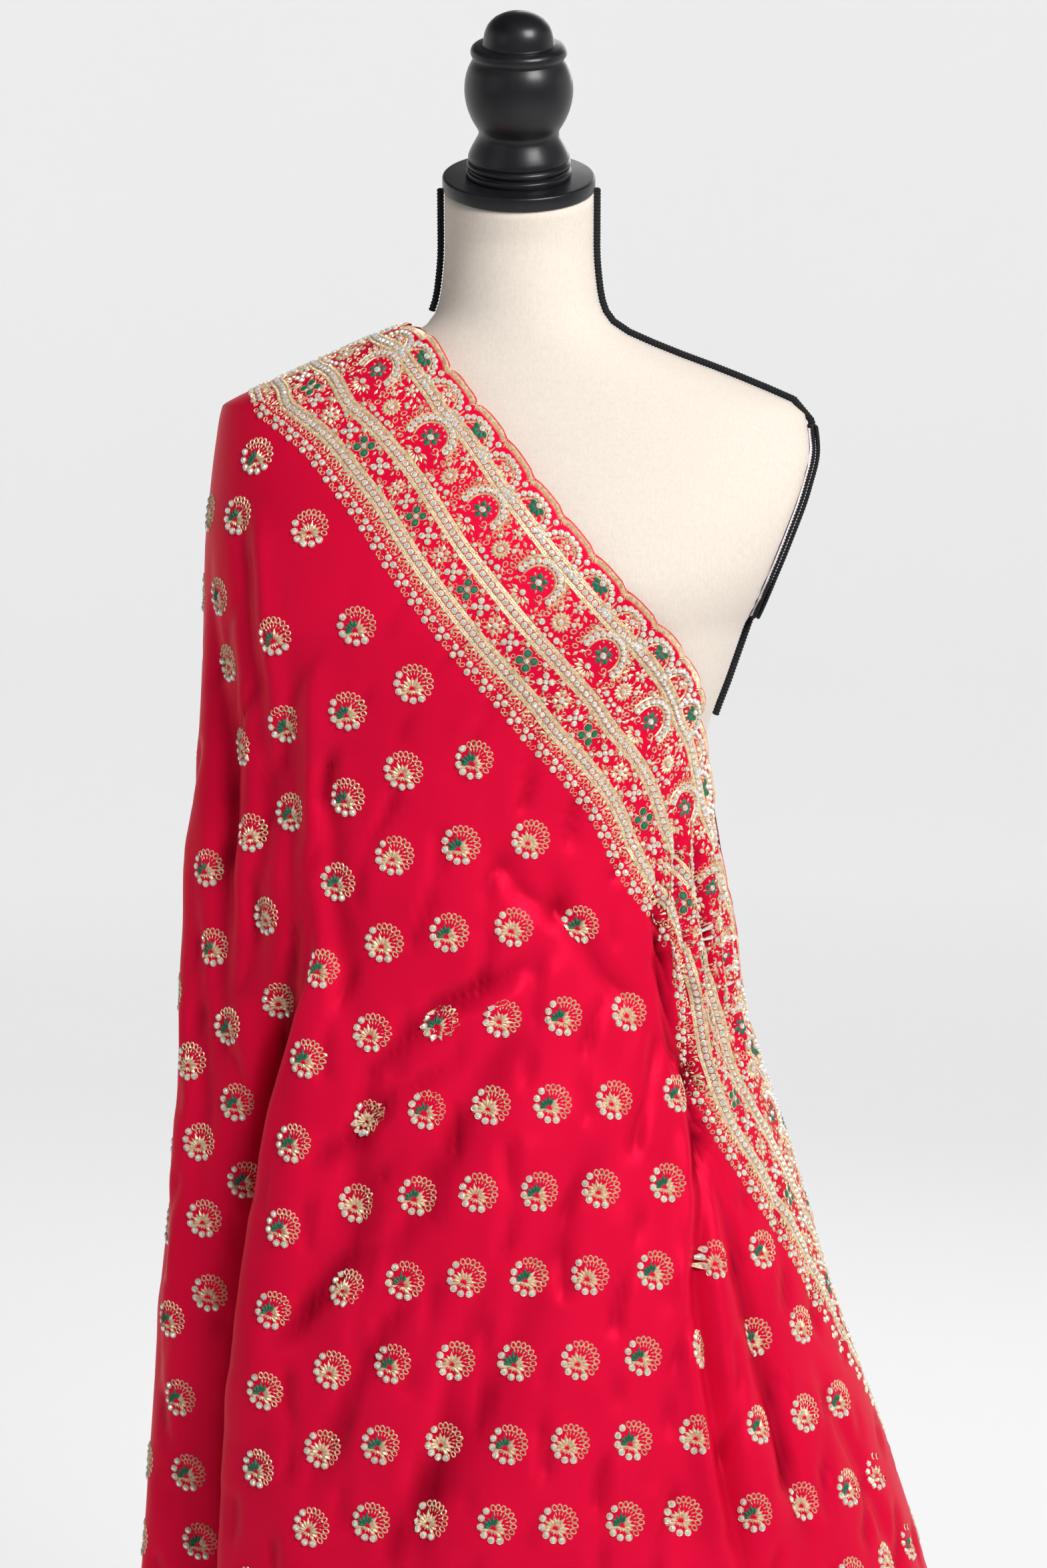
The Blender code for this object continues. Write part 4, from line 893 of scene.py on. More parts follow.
def scallop_stations(last_section, mirrored):
    """Fractional section numbers at the notches between scallops."""
    fine = np.linspace(0, last_section, last_section * RUN_FINENESS + 1)
    run = run_along(draped(*border_point(fine, 0.0, mirrored)))
    count = round(run[-1] / SCALLOP_PITCH)
    return np.interp(np.linspace(0, run[-1], count + 1), run, fine)


front_stations = scallop_stations(len(BORDER_SECTIONS) - 1, False)
back_stations = scallop_stations(BACK_SECTION_COUNT, True)
FRONT_SCALLOPS = len(front_stations) - 1
BACK_SCALLOPS = len(back_stations) - 1


def border_place(scallop, across):
    """Angle and height in the border; scallops count from the ridge, below zero on the back."""
    scallop, across = np.broadcast_arrays(np.asarray(scallop, float), np.asarray(across, float))
    behind = scallop < 0
    front = np.interp(scallop, np.arange(FRONT_SCALLOPS + 1), front_stations)
    back = np.interp(-scallop, np.arange(BACK_SCALLOPS + 1), back_stations)
    return border_point(np.where(behind, back, front), across, behind)


def scallop_edge(scallop):
    """Distance of the scalloped outline from the border's outermost line, in metres."""
    part = (scallop - SCALLOP_SHIFT) % 1.0
    return SCALLOP_DEPTH * (1 - np.sqrt(np.clip(1 - (2 * part - 1) ** 4, 0, 1)))


def ridge_trim(scallop):
    """Cloth turned in at the shoulder ridge, where the edge meets the neck."""
    return RIDGE_TRIM * np.exp(-((np.asarray(scallop) / RIDGE_TRIM_SPAN) ** 2))


def roll_scallop(stations, rows, way):
    """Scallop number above which a stretch rolls under."""
    found, _ = border_point(stations, 1.0, way < 0)
    return way * int(np.argmin(np.abs(found - table_value(rows, 1, ROLL_TOP))))


front_roll = roll_scallop(front_stations, FRONT_ROLL, 1)
back_roll = roll_scallop(back_stations, BACK_ROLL, -1)


def field_place(scallop, down):
    """Angle and height in the plain field: down is 0 at the border's inner line, 1 at the hem."""
    scallop, down = np.broadcast_arrays(np.asarray(scallop, float), np.asarray(down, float))
    top_angle, top_height = border_place(scallop, 1.0)
    settle = np.interp(
        scallop,
        [back_roll - 1 - SETTLE_SPAN, back_roll - 1, front_roll + 1, front_roll + 1 + SETTLE_SPAN],
        [1.0, SETTLE_SHORT, SETTLE_SHORT, 1.0],
    )
    share = down + (ease(down / settle) - down) * ease((1 - settle) / SETTLE_BLEND)
    angle = np.array(top_angle)
    marks = [-BACK_SCALLOPS, back_roll - 1, back_roll + 1, 0, front_roll - 1, front_roll + 1, FRONT_SCALLOPS]
    for _ in range(FIELD_ROUNDS):
        height = top_height + (table_value(HEM, 1, angle) - top_height) * down
        half = ROLL_ANGLE / 2 + ROLL_SPREAD * ease((height - ROLL_SPREAD_FOOT) / ROLL_SPREAD_RISE)
        front_line = table_value(FRONT_ROLL, 1, height)
        back_line = table_value(BACK_ROLL, 1, height)
        goals = [
            table_value(BACK_END, 1, height),
            back_line + half,
            back_line - half,
            np.full(height.shape, 180.0),
            front_line + half,
            front_line - half,
            np.full(height.shape, BORDER_SECTIONS[-1][2]),
        ]
        goal = np.zeros(height.shape)
        for i in range(len(marks) - 1):
            t = (scallop - marks[i]) / (marks[i + 1] - marks[i])
            use = (scallop >= marks[i]) & (scallop <= marks[i + 1])
            goal = np.where(use, goals[i] + (goals[i + 1] - goals[i]) * t, goal)
        angle = top_angle + (goal - top_angle) * share
    return angle, height


def sheet_grid(scallops):
    """Angles and heights of a sheet's grid, scalloped edge first and hem last."""
    across = np.linspace(0, 1, BORDER_ROWS + 1)[:, None]
    notch = (scallop_edge(scallops) + ridge_trim(scallops) + RIM_GAP) / BORDER_WIDTH
    edge_angle, edge_height = border_place(scallops[None, :], notch + (1 - notch) * across)
    down = np.linspace(0, 1, FIELD_ROWS + 1)[1:, None] ** FIELD_ROW_BIAS
    field_angle, field_height = field_place(scallops[None, :], down)
    return np.vstack([edge_angle, field_angle]), np.vstack([edge_height, field_height])


def facing(angle, height):
    """Outward direction of the draped cloth."""
    across, down = FACING_STEP
    aside = draped(angle - across, height) - draped(angle + across, height)
    up = draped(angle, height + down) - draped(angle, height - down)
    normal = np.cross(aside, up)
    return normal / (np.linalg.norm(normal, axis=-1, keepdims=True) + NEVER_ZERO)


def valley_shade_of(lift):
    """How deep each point of a grid lies below its neighbours, 0 to 1, as the share of painted shade there.
    """
    level = lift
    for axis, reach in enumerate(VALLEY_REACH):
        weights = np.hanning(2 * reach + 3)[1:-1]
        weights /= weights.sum()
        pad = [(reach, reach) if k == axis else (0, 0) for k in range(2)]
        padded = np.pad(level, pad, mode="edge")
        places = np.arange(lift.shape[axis])
        level = sum(w * np.take(padded, places + k, axis=axis) for k, w in enumerate(weights))
    return np.clip((level - lift) / VALLEY_DEPTH, 0, 1)


def sheet_shell(name, scallops, look):
    """A thin closed shell of cloth over a run of scallops, its outer faces and its area."""
    angle, height = sheet_grid(scallops)
    outer = draped(angle, height)
    normal = facing(angle, height)
    rows, columns = angle.shape
    points = np.vstack([outer.reshape(-1, 3), (outer - normal * CLOTH).reshape(-1, 3)])
    index = np.arange(rows * columns).reshape(rows, columns)
    quads = np.stack([index[:-1, :-1], index[:-1, 1:], index[1:, 1:], index[1:, :-1]], axis=-1).reshape(-1, 4)
    behind = rows * columns
    faces = np.vstack([quads, quads[:, ::-1] + behind])
    rim = np.concatenate([index[0, :], index[1:, -1], index[-1, -2::-1], index[-2:0:-1, 0]])
    following = np.roll(rim, -1)
    sides = np.stack([following, rim, rim + behind, following + behind], axis=-1)
    piece = new_piece(name, points, np.vstack([faces, sides]).tolist(), look)
    # Painted shade on the mesh: how low each point lies among its neighbours and how deep it sits in the
    # groove beside a rolled edge. The satin's colour is darkened by it.
    valley_shade = valley_shade_of(drape_moves(angle, height)[0])
    for roll_rows, way in ROLLS:
        size = np.clip(table_value(roll_rows, 2, height), 0, 1)
        valley_shade = valley_shade + groove_share(angle, height, roll_rows, way) * size
    valley_shade = np.clip(valley_shade, 0, 1).ravel()
    piece.data.attributes.new("valley_shade", "FLOAT", "POINT").data.foreach_set("value", np.tile(valley_shade, 2))
    flat_normals = normal.reshape(-1, 3)
    piece.data.normals_split_custom_set_from_vertices(np.vstack([flat_normals, -flat_normals]).tolist())
    corners = points[quads]
    cross = np.cross(corners[:, 2] - corners[:, 0], corners[:, 3] - corners[:, 1])
    return piece, points[:behind], quads, float(np.linalg.norm(cross, axis=1).sum() / 2)


def scallop_run(low, high, density):
    """Column places from one scallop number to another, closer where the cloth rolls under."""
    places = [np.linspace(low, high, int(round((high - low) * density)) + 1)]
    for middle in (front_roll, back_roll):
        close = np.linspace(middle - 1, middle + 1, ROLL_COLUMNS + 1)
        places.append(close[(close >= low) & (close <= high)])
    return np.unique(np.round(np.concatenate(places), 4))[::-1]


satin = tinted("crimson_satin", (0.80, 0.0047, 0.045), 0.45, 0.20, Specular_IOR_Level=0.12)
satin.node_tree.nodes["Principled BSDF"].inputs["Specular Tint"].default_value = (1.0, 0.16, 0.22, 1.0)
plain_red = colour_by(satin, noise_of(satin, 14.0, 3.0), (0.76, 0.0043, 0.042), (0.84, 0.0051, 0.048))
# Painted shade: the satin's colour is multiplied by a dark tint where the mesh's painted shade share is high.
valley_shade_share = new_node(satin, "Attribute", "Fac")
valley_shade_share.node.attribute_name = "valley_shade"
shade = satin.node_tree.nodes.new("ShaderNodeMix")
shade.data_type = "RGBA"
shade.blend_type = "MULTIPLY"
shade.inputs[7].default_value = VALLEY_SHADE_TINT
satin.node_tree.links.new(valley_shade_share, shade.inputs[0])
satin.node_tree.links.new(plain_red, shade.inputs[6])
feed(satin, "Base Color", shade.outputs[2])
roughness_by(satin, noise_of(satin, 40.0, 3.0, (1, 1, 0.3)), 0.38, 0.48)
satin_ripple = bump_by(satin, noise_of(satin, 34.0, 2.0, (1, 1, 0.35)), 0.0016, 0.30)
bump_by(satin, threads_of(satin, 0.00045, (0, math.pi / 5, 0)), 0.00003, 0.4, satin_ripple)

# Sheet: first and last scallop, columns to a scallop, the CAD nodes it stands for.
FRONT_NODES = ("sari_front", "sari_side", "border_front", "border_waist", "border_hip")
SHEETS = {
    "satin_front": (front_roll - 1, FRONT_SCALLOPS, 5, FRONT_NODES),
    "satin_left_fall": (back_roll + 1, front_roll - 1, 16, ("sari_left_fall",)),
    "satin_back": (-BACK_SCALLOPS, back_roll + 1, 5, ("sari_back", "sari_back_side", "border_back")),
}
sheets = {}
outer_faces = {}
for name, (low, high, density, stands_for) in SHEETS.items():
    piece, cloth_points, cloth_quads, area = sheet_shell(name, scallop_run(low, high, density), satin)
    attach(piece, "root")
    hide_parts(*stands_for)
    sheets[name] = (piece, area)
    outer_faces[name] = (cloth_points, cloth_quads)


# Stitches and stones
# The embroiderer's small parts: padded satin stitches and cords of gilt thread, thread loops,
# and cut glass stones in gilt rings. A motif is drawn flat in millimetres, then sewn on.
MM = 0.001
THREADS = ("gold", "green", "stone")
SUNK = -0.12
STITCH_HIGH = 0.75
STONE_HIGH = 1.5
CORD_END = 0.4
CURL_TURN = math.radians(400)
CURL_CLOSE = 0.72
CURL_WIDE, CURL_HIGH = 1.1, 0.6
# Above this height no sheet lies over another, so a motif may cross from one to the next.
SINGLE_LAYER = 1.12
LAYER_LAP = 0.04
STEADY = 1.2


def motif():
    """An empty motif: its parts by thread, each as points and triangles."""
    return {thread: [] for thread in THREADS}


def put(made, thread, x, y, turn, points, faces):
    """Adds a small shape to a motif at x and y, turned by degrees."""
    c, s = math.cos(math.radians(turn)), math.sin(math.radians(turn))
    points = np.asarray(points, float)
    px, py, pz = points.T
    turned_points = np.column_stack([x + px * c - py * s, y + px * s + py * c, pz])
    made[thread].append((turned_points, np.asarray(faces, int)))


def satin_stitch(made, x, y, turn, length, wide, high=STITCH_HIGH, thread="gold"):
    """A padded stitch with two pointed ends and a crest, lying along turn."""
    half = length / 2
    points = [(-half, 0, SUNK), (0, -wide / 2, SUNK), (half, 0, SUNK), (0, wide / 2, SUNK), (0, 0, high)]
    put(made, thread, x, y, turn, points, [(0, 1, 4), (1, 2, 4), (2, 3, 4), (3, 0, 4)])


def round_part(made, thread, x, y, turn, rings, sides, stretch=1.0):
    """A round or oval part from rings of radius and height, outermost first."""
    points, faces = [], []
    for radius, high in rings:
        if radius == 0:
            points.append((0, 0, high))
            continue
        for k in range(sides):
            a = 2 * math.pi * (k + 0.5) / sides
            points.append((radius * math.cos(a) * stretch, radius * math.sin(a), high))
    for r in range(len(rings) - 1):
        for k in range(sides):
            n = (k + 1) % sides
            a, b = r * sides + k, r * sides + n
            if rings[r + 1][0] == 0:
                faces.append((a, b, (r + 1) * sides))
            else:
                faces += [(a, b, b + sides), (a, b + sides, a + sides)]
    put(made, thread, x, y, turn, points, faces)


def stone(made, x, y, fine, size, ring):
    """A cut glass stone in a gilt ring."""
    r, s = ring / 2, size / 2
    if fine:
        cut = [(s + 0.05, 0.55), (s * 0.62, STONE_HIGH), (0, STONE_HIGH + 0.12)]
        round_part(made, "gold", x, y, 0, [(r, SUNK), (s + (r - s) * 0.55, 0.85), (s, 0.60)], 8)
        round_part(made, "stone", x, y, 0, cut, 8)
    else:
        round_part(made, "gold", x, y, 0, [(r, SUNK), (s, 0.75)], 5)
        round_part(made, "stone", x, y, 0, [(s, 0.70), (0, STONE_HIGH)], 5)


def knot(made, x, y, wide, sides=5):
    """A small round knot or bead."""
    round_part(made, "gold", x, y, 0, [(wide / 2, SUNK), (wide * 0.30, wide * 0.36), (0, wide * 0.48)], sides)


def loop(made, x, y, turn, length, wide, fine):
    """An oval thread loop that leaves the cloth bare inside."""
    r = wide / 2
    rings = [(r, SUNK), (r * 0.76, 0.62), (r * 0.50, SUNK)] if fine else [(r, SUNK), (r * 0.6, 0.60)]
    round_part(made, "gold", x, y, turn, rings, 8 if fine else 6, length / wide)


def cord(made, way, wide, high=STITCH_HIGH):
    """A flat cord along a way, with a crest down its middle."""
    way = np.asarray(way, float)
    along = np.gradient(way, axis=0)
    side = unit(np.column_stack([-along[:, 1], along[:, 0]])) * (wide / 2)
    side[[0, -1]] *= CORD_END
    rows = []
    for k in range(len(way)):
        crest = high if 0 < k < len(way) - 1 else high * CORD_END
        rows += [(*(way[k] - side[k]), SUNK), (*way[k], crest), (*(way[k] + side[k]), SUNK)]
    faces = []
    for k in range(0, 3 * (len(way) - 1), 3):
        faces += [(k, k + 4, k + 1), (k, k + 3, k + 4), (k + 1, k + 5, k + 2), (k + 1, k + 4, k + 5)]
    put(made, "gold", 0, 0, 0, rows, faces)


def curl(made, x, y, turn, size, way_round, fine):
    """A spiral curl of cord that opens along turn."""
    way = []
    for t in np.linspace(0, 1, 9 if fine else 5):
        a = math.radians(turn) + way_round * t * CURL_TURN
        radius = size * (1 - CURL_CLOSE * t)
        way.append((x + radius * math.cos(a), y + radius * math.sin(a)))
    cord(made, way, CURL_WIDE, CURL_HIGH)


def spokes(radius, turns, x=0, y=0):
    """Spots of x, y and turn round a centre."""
    angles = [math.radians(turn) for turn in turns]
    return [(x + radius * math.cos(a), y + radius * math.sin(a), turn) for a, turn in zip(angles, turns)]


def both_sides(*spots):
    """Spots of x and y, or x, y and turn, with their mirror images."""
    return [*spots, *((-x, y, *(180 - turn for turn in rest)) for x, y, *rest in spots)]


def each(made, part, spots, *sizes):
    """The same part at every spot."""
    for spot in spots:
        part(made, *spot, *sizes)


def petals(made, x, y, turns, inner, outer, wide, high=STITCH_HIGH, thread="gold"):
    """Padded petals round a centre, one along each turn."""
    each(made, satin_stitch, spokes((inner + outer) / 2, turns, x, y), outer - inner, wide, high, thread)


def gathered(parts):
    """Points and faces of several parts as one set."""
    starts = np.cumsum([0] + [len(points) for points, _ in parts[:-1]])
    faces = np.vstack([faces + start for (_, faces), start in zip(parts, starts)])
    return np.vstack([points for points, _ in parts]), faces


def joined(made):
    """The motif's parts as one set of points and triangles for each thread."""
    return {thread: gathered(parts) for thread, parts in made.items() if parts}


def tree_of(points, faces):
    """A surface that stitches can be laid on."""
    return BVHTree.FromPolygons(points.tolist(), faces.tolist())


cloths = {name: tree_of(*outer_faces[name]) for name in outer_faces}
shoulder = []
for points, quads in outer_faces.values():
    lowest = points[quads][:, :, 2].min(axis=1)
    shoulder.append((points, quads[lowest > SINGLE_LAYER - LAYER_LAP]))
shoulder_cloth = tree_of(*gathered(shoulder))
sewn = {}


def sew(piece_name, made, centre, right, up, name, squeeze=1.0):
    """Sews a motif on a sheet, each of its points laid on the cloth and raised to its height."""
    tree = shoulder_cloth if centre[2] > SINGLE_LAYER else cloths[name]
    _, outward, _, _ = tree.find_nearest(centre.tolist())
    level = np.cross(right, up)
    turned_over = np.dot(level, np.array(outward)) < 0
    steady = Vector(-level if turned_over else level) * STEADY
    for thread, (points, triangles) in made.items():
        flat = centre + np.outer(points[:, 0] * MM * squeeze, right) + np.outer(points[:, 1] * MM, up)
        laid = np.empty(flat.shape)
        for k, (spot, high) in enumerate(zip(flat.tolist(), (points[:, 2] * MM).tolist())):
            foot, out, _, _ = tree.find_nearest(spot)
            laid[k] = foot + (out + steady).normalized() * high
        parts = sewn.setdefault((piece_name, thread), [])
        parts.append((laid, triangles[:, ::-1] if turned_over else triangles))


# Border embroidery
# A band 122 mm wide along one edge, worked in gilt thread, green silk and glass stones: a row
# of arches in the scallops, crescents round flowers, a band of flowers, and a row of buds.
REPEAT = 2.0
SCALLOP_MM = 31.0
WIDTH_MM = BORDER_WIDTH / MM
DEEPEST_MM = 130
LINE_ROWS = (24.0, 66.5, 95.0)
LINK_MM = 4.6
BUD_STEP_MM = 14.0
BUD_ROW = 106.0
SEEN_SCALLOPS = (-1.5, 24.5)
# How far the pattern runs ahead of the scallops at two thirds of the width, by scallop number.
PATTERN_SHIFT = [
    (-27.0, 0.0), (-22.0, 0.0), (-20.0, 0.4), (-15.95, 1.25), (-13.35, 0.65), (-10.75, 0.05), (-8.45, -0.25),
    (-6.6, -0.1), (-4.0, -0.4), (0.0, -1.2), (2.15, -1.45), (3.35, -0.65), (4.75, -0.05), (6.6, 0.1),
    (8.45, 0.25), (10.75, -0.05), (13.35, -0.65), (15.95, -1.25), (20.0, -0.4), (22.0, 0.0), (51.0, 0.0),
]
SHIFT_WIDTH = 0.67
ACROSS_SMOOTH = 1.2
# At the shoulder ridge the pattern is moved off the edge: by how many mm, over how many scallops.
RIDGE_SHIFT = 7.5
RIDGE_SPAN = 1.1
PLACES_TO_SCALLOP = 2
DEEPEST_SHARE, SHARE_STEPS = 1.1, 45
PATTERN_FINENESS = 40
END_ROOM = 0.6
END_CLEAR = 0.5
RIDGE_CLEAR = 0.02
NUDGE = 0.06
NUDGE_MM = 2
LEAST_SQUEEZE = 0.55
ROW_NUDGE = 0.03
ROW_NUDGE_MM = 1.5
SCALLOP_NUDGE = 0.4
SCALLOP_INWARD_MM = 12.0
SCALLOP_END = 0.3
BOTH_RUNS = FRONT_SCALLOPS + BACK_SCALLOPS

run_places = np.linspace(-BACK_SCALLOPS, FRONT_SCALLOPS, PLACES_TO_SCALLOP * BOTH_RUNS + 1)
run_shares = np.linspace(0.0, DEEPEST_SHARE, SHARE_STEPS)
across_steps = np.diff(draped(*border_place(run_places[:, None], run_shares[None, :])), axis=1)
across_run = np.cumsum(np.linalg.norm(across_steps, axis=2), axis=1) / MM
across_run = np.hstack([np.zeros((len(run_places), 1)), across_run])
share_at = np.array([np.interp(np.arange(DEEPEST_MM + 1), row, run_shares) for row in across_run])
near_by = np.exp(-(((run_places[:, None] - run_places[None, :]) / ACROSS_SMOOTH) ** 2))
share_at = near_by @ share_at / near_by.sum(axis=1, keepdims=True)
pattern_run = np.linspace(-BACK_SCALLOPS, FRONT_SCALLOPS, PATTERN_FINENESS * BOTH_RUNS + 1)
pattern_ahead = np.interp(pattern_run, *zip(*PATTERN_SHIFT))


def on_border(scallop, y):
    """Point of the border at a scallop number and a distance in mm from its edge."""
    scallop, y = np.broadcast_arrays(np.asarray(scallop, float), np.asarray(y, float))
    inner = np.clip(y / LINE_ROWS[1], 0, 1)
    shift = RIDGE_SHIFT * np.exp(-((scallop / RIDGE_SPAN) ** 2))
    y = y + inner * shift + (1 - inner) * ridge_trim(scallop) / MM
    y = np.clip(y, 0, DEEPEST_MM - 1).ravel()
    low, high = (
        np.array([np.interp(at, run_places, share_at[:, int(mm) + k]) for at, mm in zip(scallop.flat, y)])
        for k in (0, 1)
    )
    part = y % 1.0
    return draped(*border_place(scallop, (low * (1 - part) + high * part).reshape(scallop.shape)))


def pattern_scallop(place, y):
    """Scallop number of a place in the pattern, which leans as the band is pulled round."""
    return np.interp(place, pattern_run + pattern_ahead * y / WIDTH_MM / SHIFT_WIDTH, pattern_run)


def out_of_sight(scallop, y):
    """Whether a place on the back of the border lies under the front stretch."""
    angle, height = border_place(scallop, y / WIDTH_MM)
    covered_from = table_value(EDGE_ROWS, 1, height) + 360 - TUCK_ANGLE
    return angle > 180 and height < UNDERLAP_TOP and angle > covered_from


def sew_on_border(makers, scallop, spot, right, up, squeeze=1.0):
    """Sews a motif on the sheet of a scallop number, in its fine form where the eye is near."""
    fine = SEEN_SCALLOPS[0] < scallop < SEEN_SCALLOPS[1]
    if scallop >= front_roll - 1:
        sew("border_front", makers[fine], spot, right, up, "satin_front", squeeze)
    else:
        sheet_name = "satin_back" if scallop <= back_roll + 1 else "satin_left_fall"
        sew("border_back", makers[fine], spot, right, up, sheet_name, squeeze)


def sew_pattern(makers, phase, y):
    """Sews a motif once a repeat along the border, at a phase of the pattern and a distance y."""
    first = math.ceil((-BACK_SCALLOPS + END_ROOM - phase) / REPEAT)
    last = math.floor((FRONT_SCALLOPS - END_ROOM - phase) / REPEAT)
    for place in (phase + REPEAT * k for k in range(first, last + 1)):
        heights = (y, y + NUDGE_MM, y - NUDGE_MM, y, y)
        at = [float(pattern_scallop(place + move, h)) for move, h in zip((0, 0, 0, NUDGE, -NUDGE), heights)]
        if abs(at[0]) < RIDGE_CLEAR or not -BACK_SCALLOPS + END_CLEAR < at[0] < FRONT_SCALLOPS - END_CLEAR:
            continue
        if out_of_sight(at[0], y):
            continue
        spots = on_border(np.array(at), np.array(heights))
        up = unit(spots[1] - spots[2])
        right = spots[3] - spots[4]
        right -= up * np.dot(right, up)
        squeeze = min(1.0, np.linalg.norm(right) / (2 * NUDGE * SCALLOP_MM * MM))
        sew_on_border(makers, at[0], spots[0], unit(right), up, max(LEAST_SQUEEZE, squeeze))


def sew_row(makers, y, step):
    """Sews a link again and again along the border at a distance y, one each step."""
    fine_run = np.linspace(-BACK_SCALLOPS, FRONT_SCALLOPS, RUN_FINENESS * BOTH_RUNS + 1)
    run = run_along(on_border(fine_run, y))
    count = int(run[-1] / (step * MM))
    places = np.interp((np.arange(count) + 0.5) * run[-1] / count, run, fine_run)
    middle = on_border(places, y)
    right = unit(on_border(places + ROW_NUDGE, y) - on_border(places - ROW_NUDGE, y))
    up = on_border(places, y + ROW_NUDGE_MM) - on_border(places, y - ROW_NUDGE_MM)
    up = unit(up - right * np.sum(up * right, axis=1, keepdims=True))
    for k, place in enumerate(places):
        if not out_of_sight(place, y):
            sew_on_border(makers, place, middle[k], right[k], up[k])


def scallop_cell(fine, rosette):
    """One scallop: its stitched edge, the arch of stones and the flower in it."""
    made = motif()
    half = SCALLOP_MM / 2
    count = 32 if fine else 12
    for k in range(count):
        x = SCALLOP_MM * ((k + 0.5) / count - 0.5)
        part = x / half
        bow = SCALLOP_DEPTH / MM * (1 - math.sqrt(max(0.0, 1 - part**4)))
        slope = SCALLOP_DEPTH / MM * 2 * part**3 / math.sqrt(max(0.05, 1 - part**4)) / half
        lean = math.degrees(math.atan2(1, -max(-0.8, min(0.8, slope))))
        satin_stitch(made, x, bow + 2.9, lean, 6.8, 1.9 if fine else 4.2, 0.9)
    right_arch = [(7, 8), (11.5, 12), (12.8, 16), (14, 22)]
    arch = np.array([*((-x, y) for x, y in right_arch[::-1]), (0, 6.8), *right_arch])
    run = run_along(arch)
    stones = np.linspace(1.0, run[-1] - 1.0, 12)
    each(made, stone, zip(*(np.interp(stones, run, arch[:, k] + 1.2 * k) for k in (0, 1))), fine, 3.4, 4.5)
    stone(made, half, 10.0, fine, 3.4, 4.5)
    if fine:
        cord(made, arch * (0.78, 1.0) + (0, 3.6), 1.7)
        cord(made, [(half, 12.5), (half + 0.2, 17), (half, 21)], 1.8)
        each(made, knot, ((-5.4, 18.6), (-2.6, 20.6), (-8, 15.6), (5.8, 18.6), (2.9, 20.6), (8.2, 15.6)), 2.2)
    if rosette:
        petals(made, 0.5, 14.2, range(0, 360, 36), 1.6, 6.9, 3.2)
        stone(made, 0.5, 14.2, fine, 3.4, 4.4)
    else:
        petals(made, 0.5, 12.6, (0, 45, 90, 135, 180), 0.6, 7.6, 5.0, 1.0, "green")
        if fine:
            petals(made, 0.5, 12.6, (22, 68, 112, 158), 5.2, 8.2, 1.5)
        stone(made, 0.5, 11.6, fine, 3.4, 4.4)
    return joined(made)


LINK_STRIP = [
    (end * LINK_MM * 0.54, side * 1.55, high)
    for end in (-1, 1)
    for side, high in ((-1, SUNK), (-0.8, 0.45), (0.8, 0.45), (1, SUNK))
]
LINK_STRIP_FACES = [(a, a + 4, a + 5) for a in range(3)] + [(a, a + 5, a + 1) for a in range(3)]


def link(fine):
    """A short length of the stone line: one stone between two cords."""
    made = motif()
    stone(made, 0, 0, fine, 3.7, 4.7)
    for y in (-3.6, 3.6):
        put(made, "gold", 0, y, 0, LINK_STRIP, LINK_STRIP_FACES)
        for x in (-LINK_MM / 3, 0, LINK_MM / 3) if fine else (0,):
            satin_stitch(made, x, y, 66, 3.7, 1.6 if fine else 3.6, 1.0)
    if fine:
        each(made, knot, ((LINK_MM / 2, -1.8), (LINK_MM / 2, 1.8)), 1.6, 4)
    return joined(made)


def crescent(fine):
    """The crescent of stones, the green flower in it and the spray at its opening."""
    made = motif()
    for x, y, _ in spokes(14, np.linspace(168, 372, 13 if fine else 12)):
        stone(made, x, y, fine, 3.7, 4.8)
    for radius in (11.1, 16.9):
        cord(made, [spot[:2] for spot in spokes(radius, np.linspace(158, 382, 17 if fine else 9))], 1.9)
    around = spokes(19.6, np.linspace(150, 390, 20 if fine else 13))
    seen = [(x, y, turn) for x, y, turn in around if fine or math.sin(math.radians(turn)) > -0.9]
    each(made, loop, seen, 4.8, 3.7 if fine else 4.4, fine)
    petals(made, 0, 0, range(18, 360, 72), 0.8, 7.0, 5.4, 1.0, "green")
    stone(made, 0, 0, fine, 3.8, 4.8)
    curl(made, -7.8, 6.0, 60, 3.0, 1, fine)
    curl(made, 7.8, 6.0, 120, 3.0, -1, fine)
    each(made, knot, ((-6.8, -5.6), (-3.6, -8.4), (0, -9.2), (3.6, -8.4), (6.8, -5.6)), 1.8)
    petals(made, -1.5, 12.0, range(8, 180, 27), 2.2, 9.4, 3.4)
    stone(made, -1.5, 11.6, fine, 3.4, 4.6)
    if fine:
        petals(made, 0, 0, range(54, 400, 72), 4.4, 7.6, 1.6)
        petals(made, -1.5, 12.0, range(22, 170, 27), 7.6, 11.6, 1.8)
        leaves = ((10.6, 7.2, 50), (12.4, 11.6, 80), (-11.4, 8.4, 120), (-13.2, 12.6, 100))
        each(made, satin_stitch, leaves, 5.2, 2.8)
    return joined(made)


def round_flower(fine):
    """The dense round flower between two crescents, with stones and loops beside it."""
    made = motif()
    petals(made, 0, 0, range(0, 360, 24 if fine else 36), 1.8, 7.6, 3.4 if fine else 4.4, 1.0)
    stone(made, 0, 0, fine, 3.6, 5.0)
    each(made, loop, both_sides((9.8, 4.0, 60), (9.8, -3.0, -60)), 5.2, 4.0, fine)
    each(made, stone, both_sides((9.8 * 0.80, 9.2)), fine, 3.6, 4.8)
    each(made, stone, ((-2.4, 10.0), (2.4, 10.0), (0, 13.4)), fine, 2.8, 3.8)
    if fine:
        leaves = both_sides((5.2, -8.6, -50), (8.2, -8.0, -30), (5.4, 14.2, 60), (11.6, 8.0, 40))
        each(made, satin_stitch, leaves, 5.0, 2.6)
        each(made, knot, both_sides((12.0, 0.6), (8.6, 13.0)), 2.4)
    return joined(made)


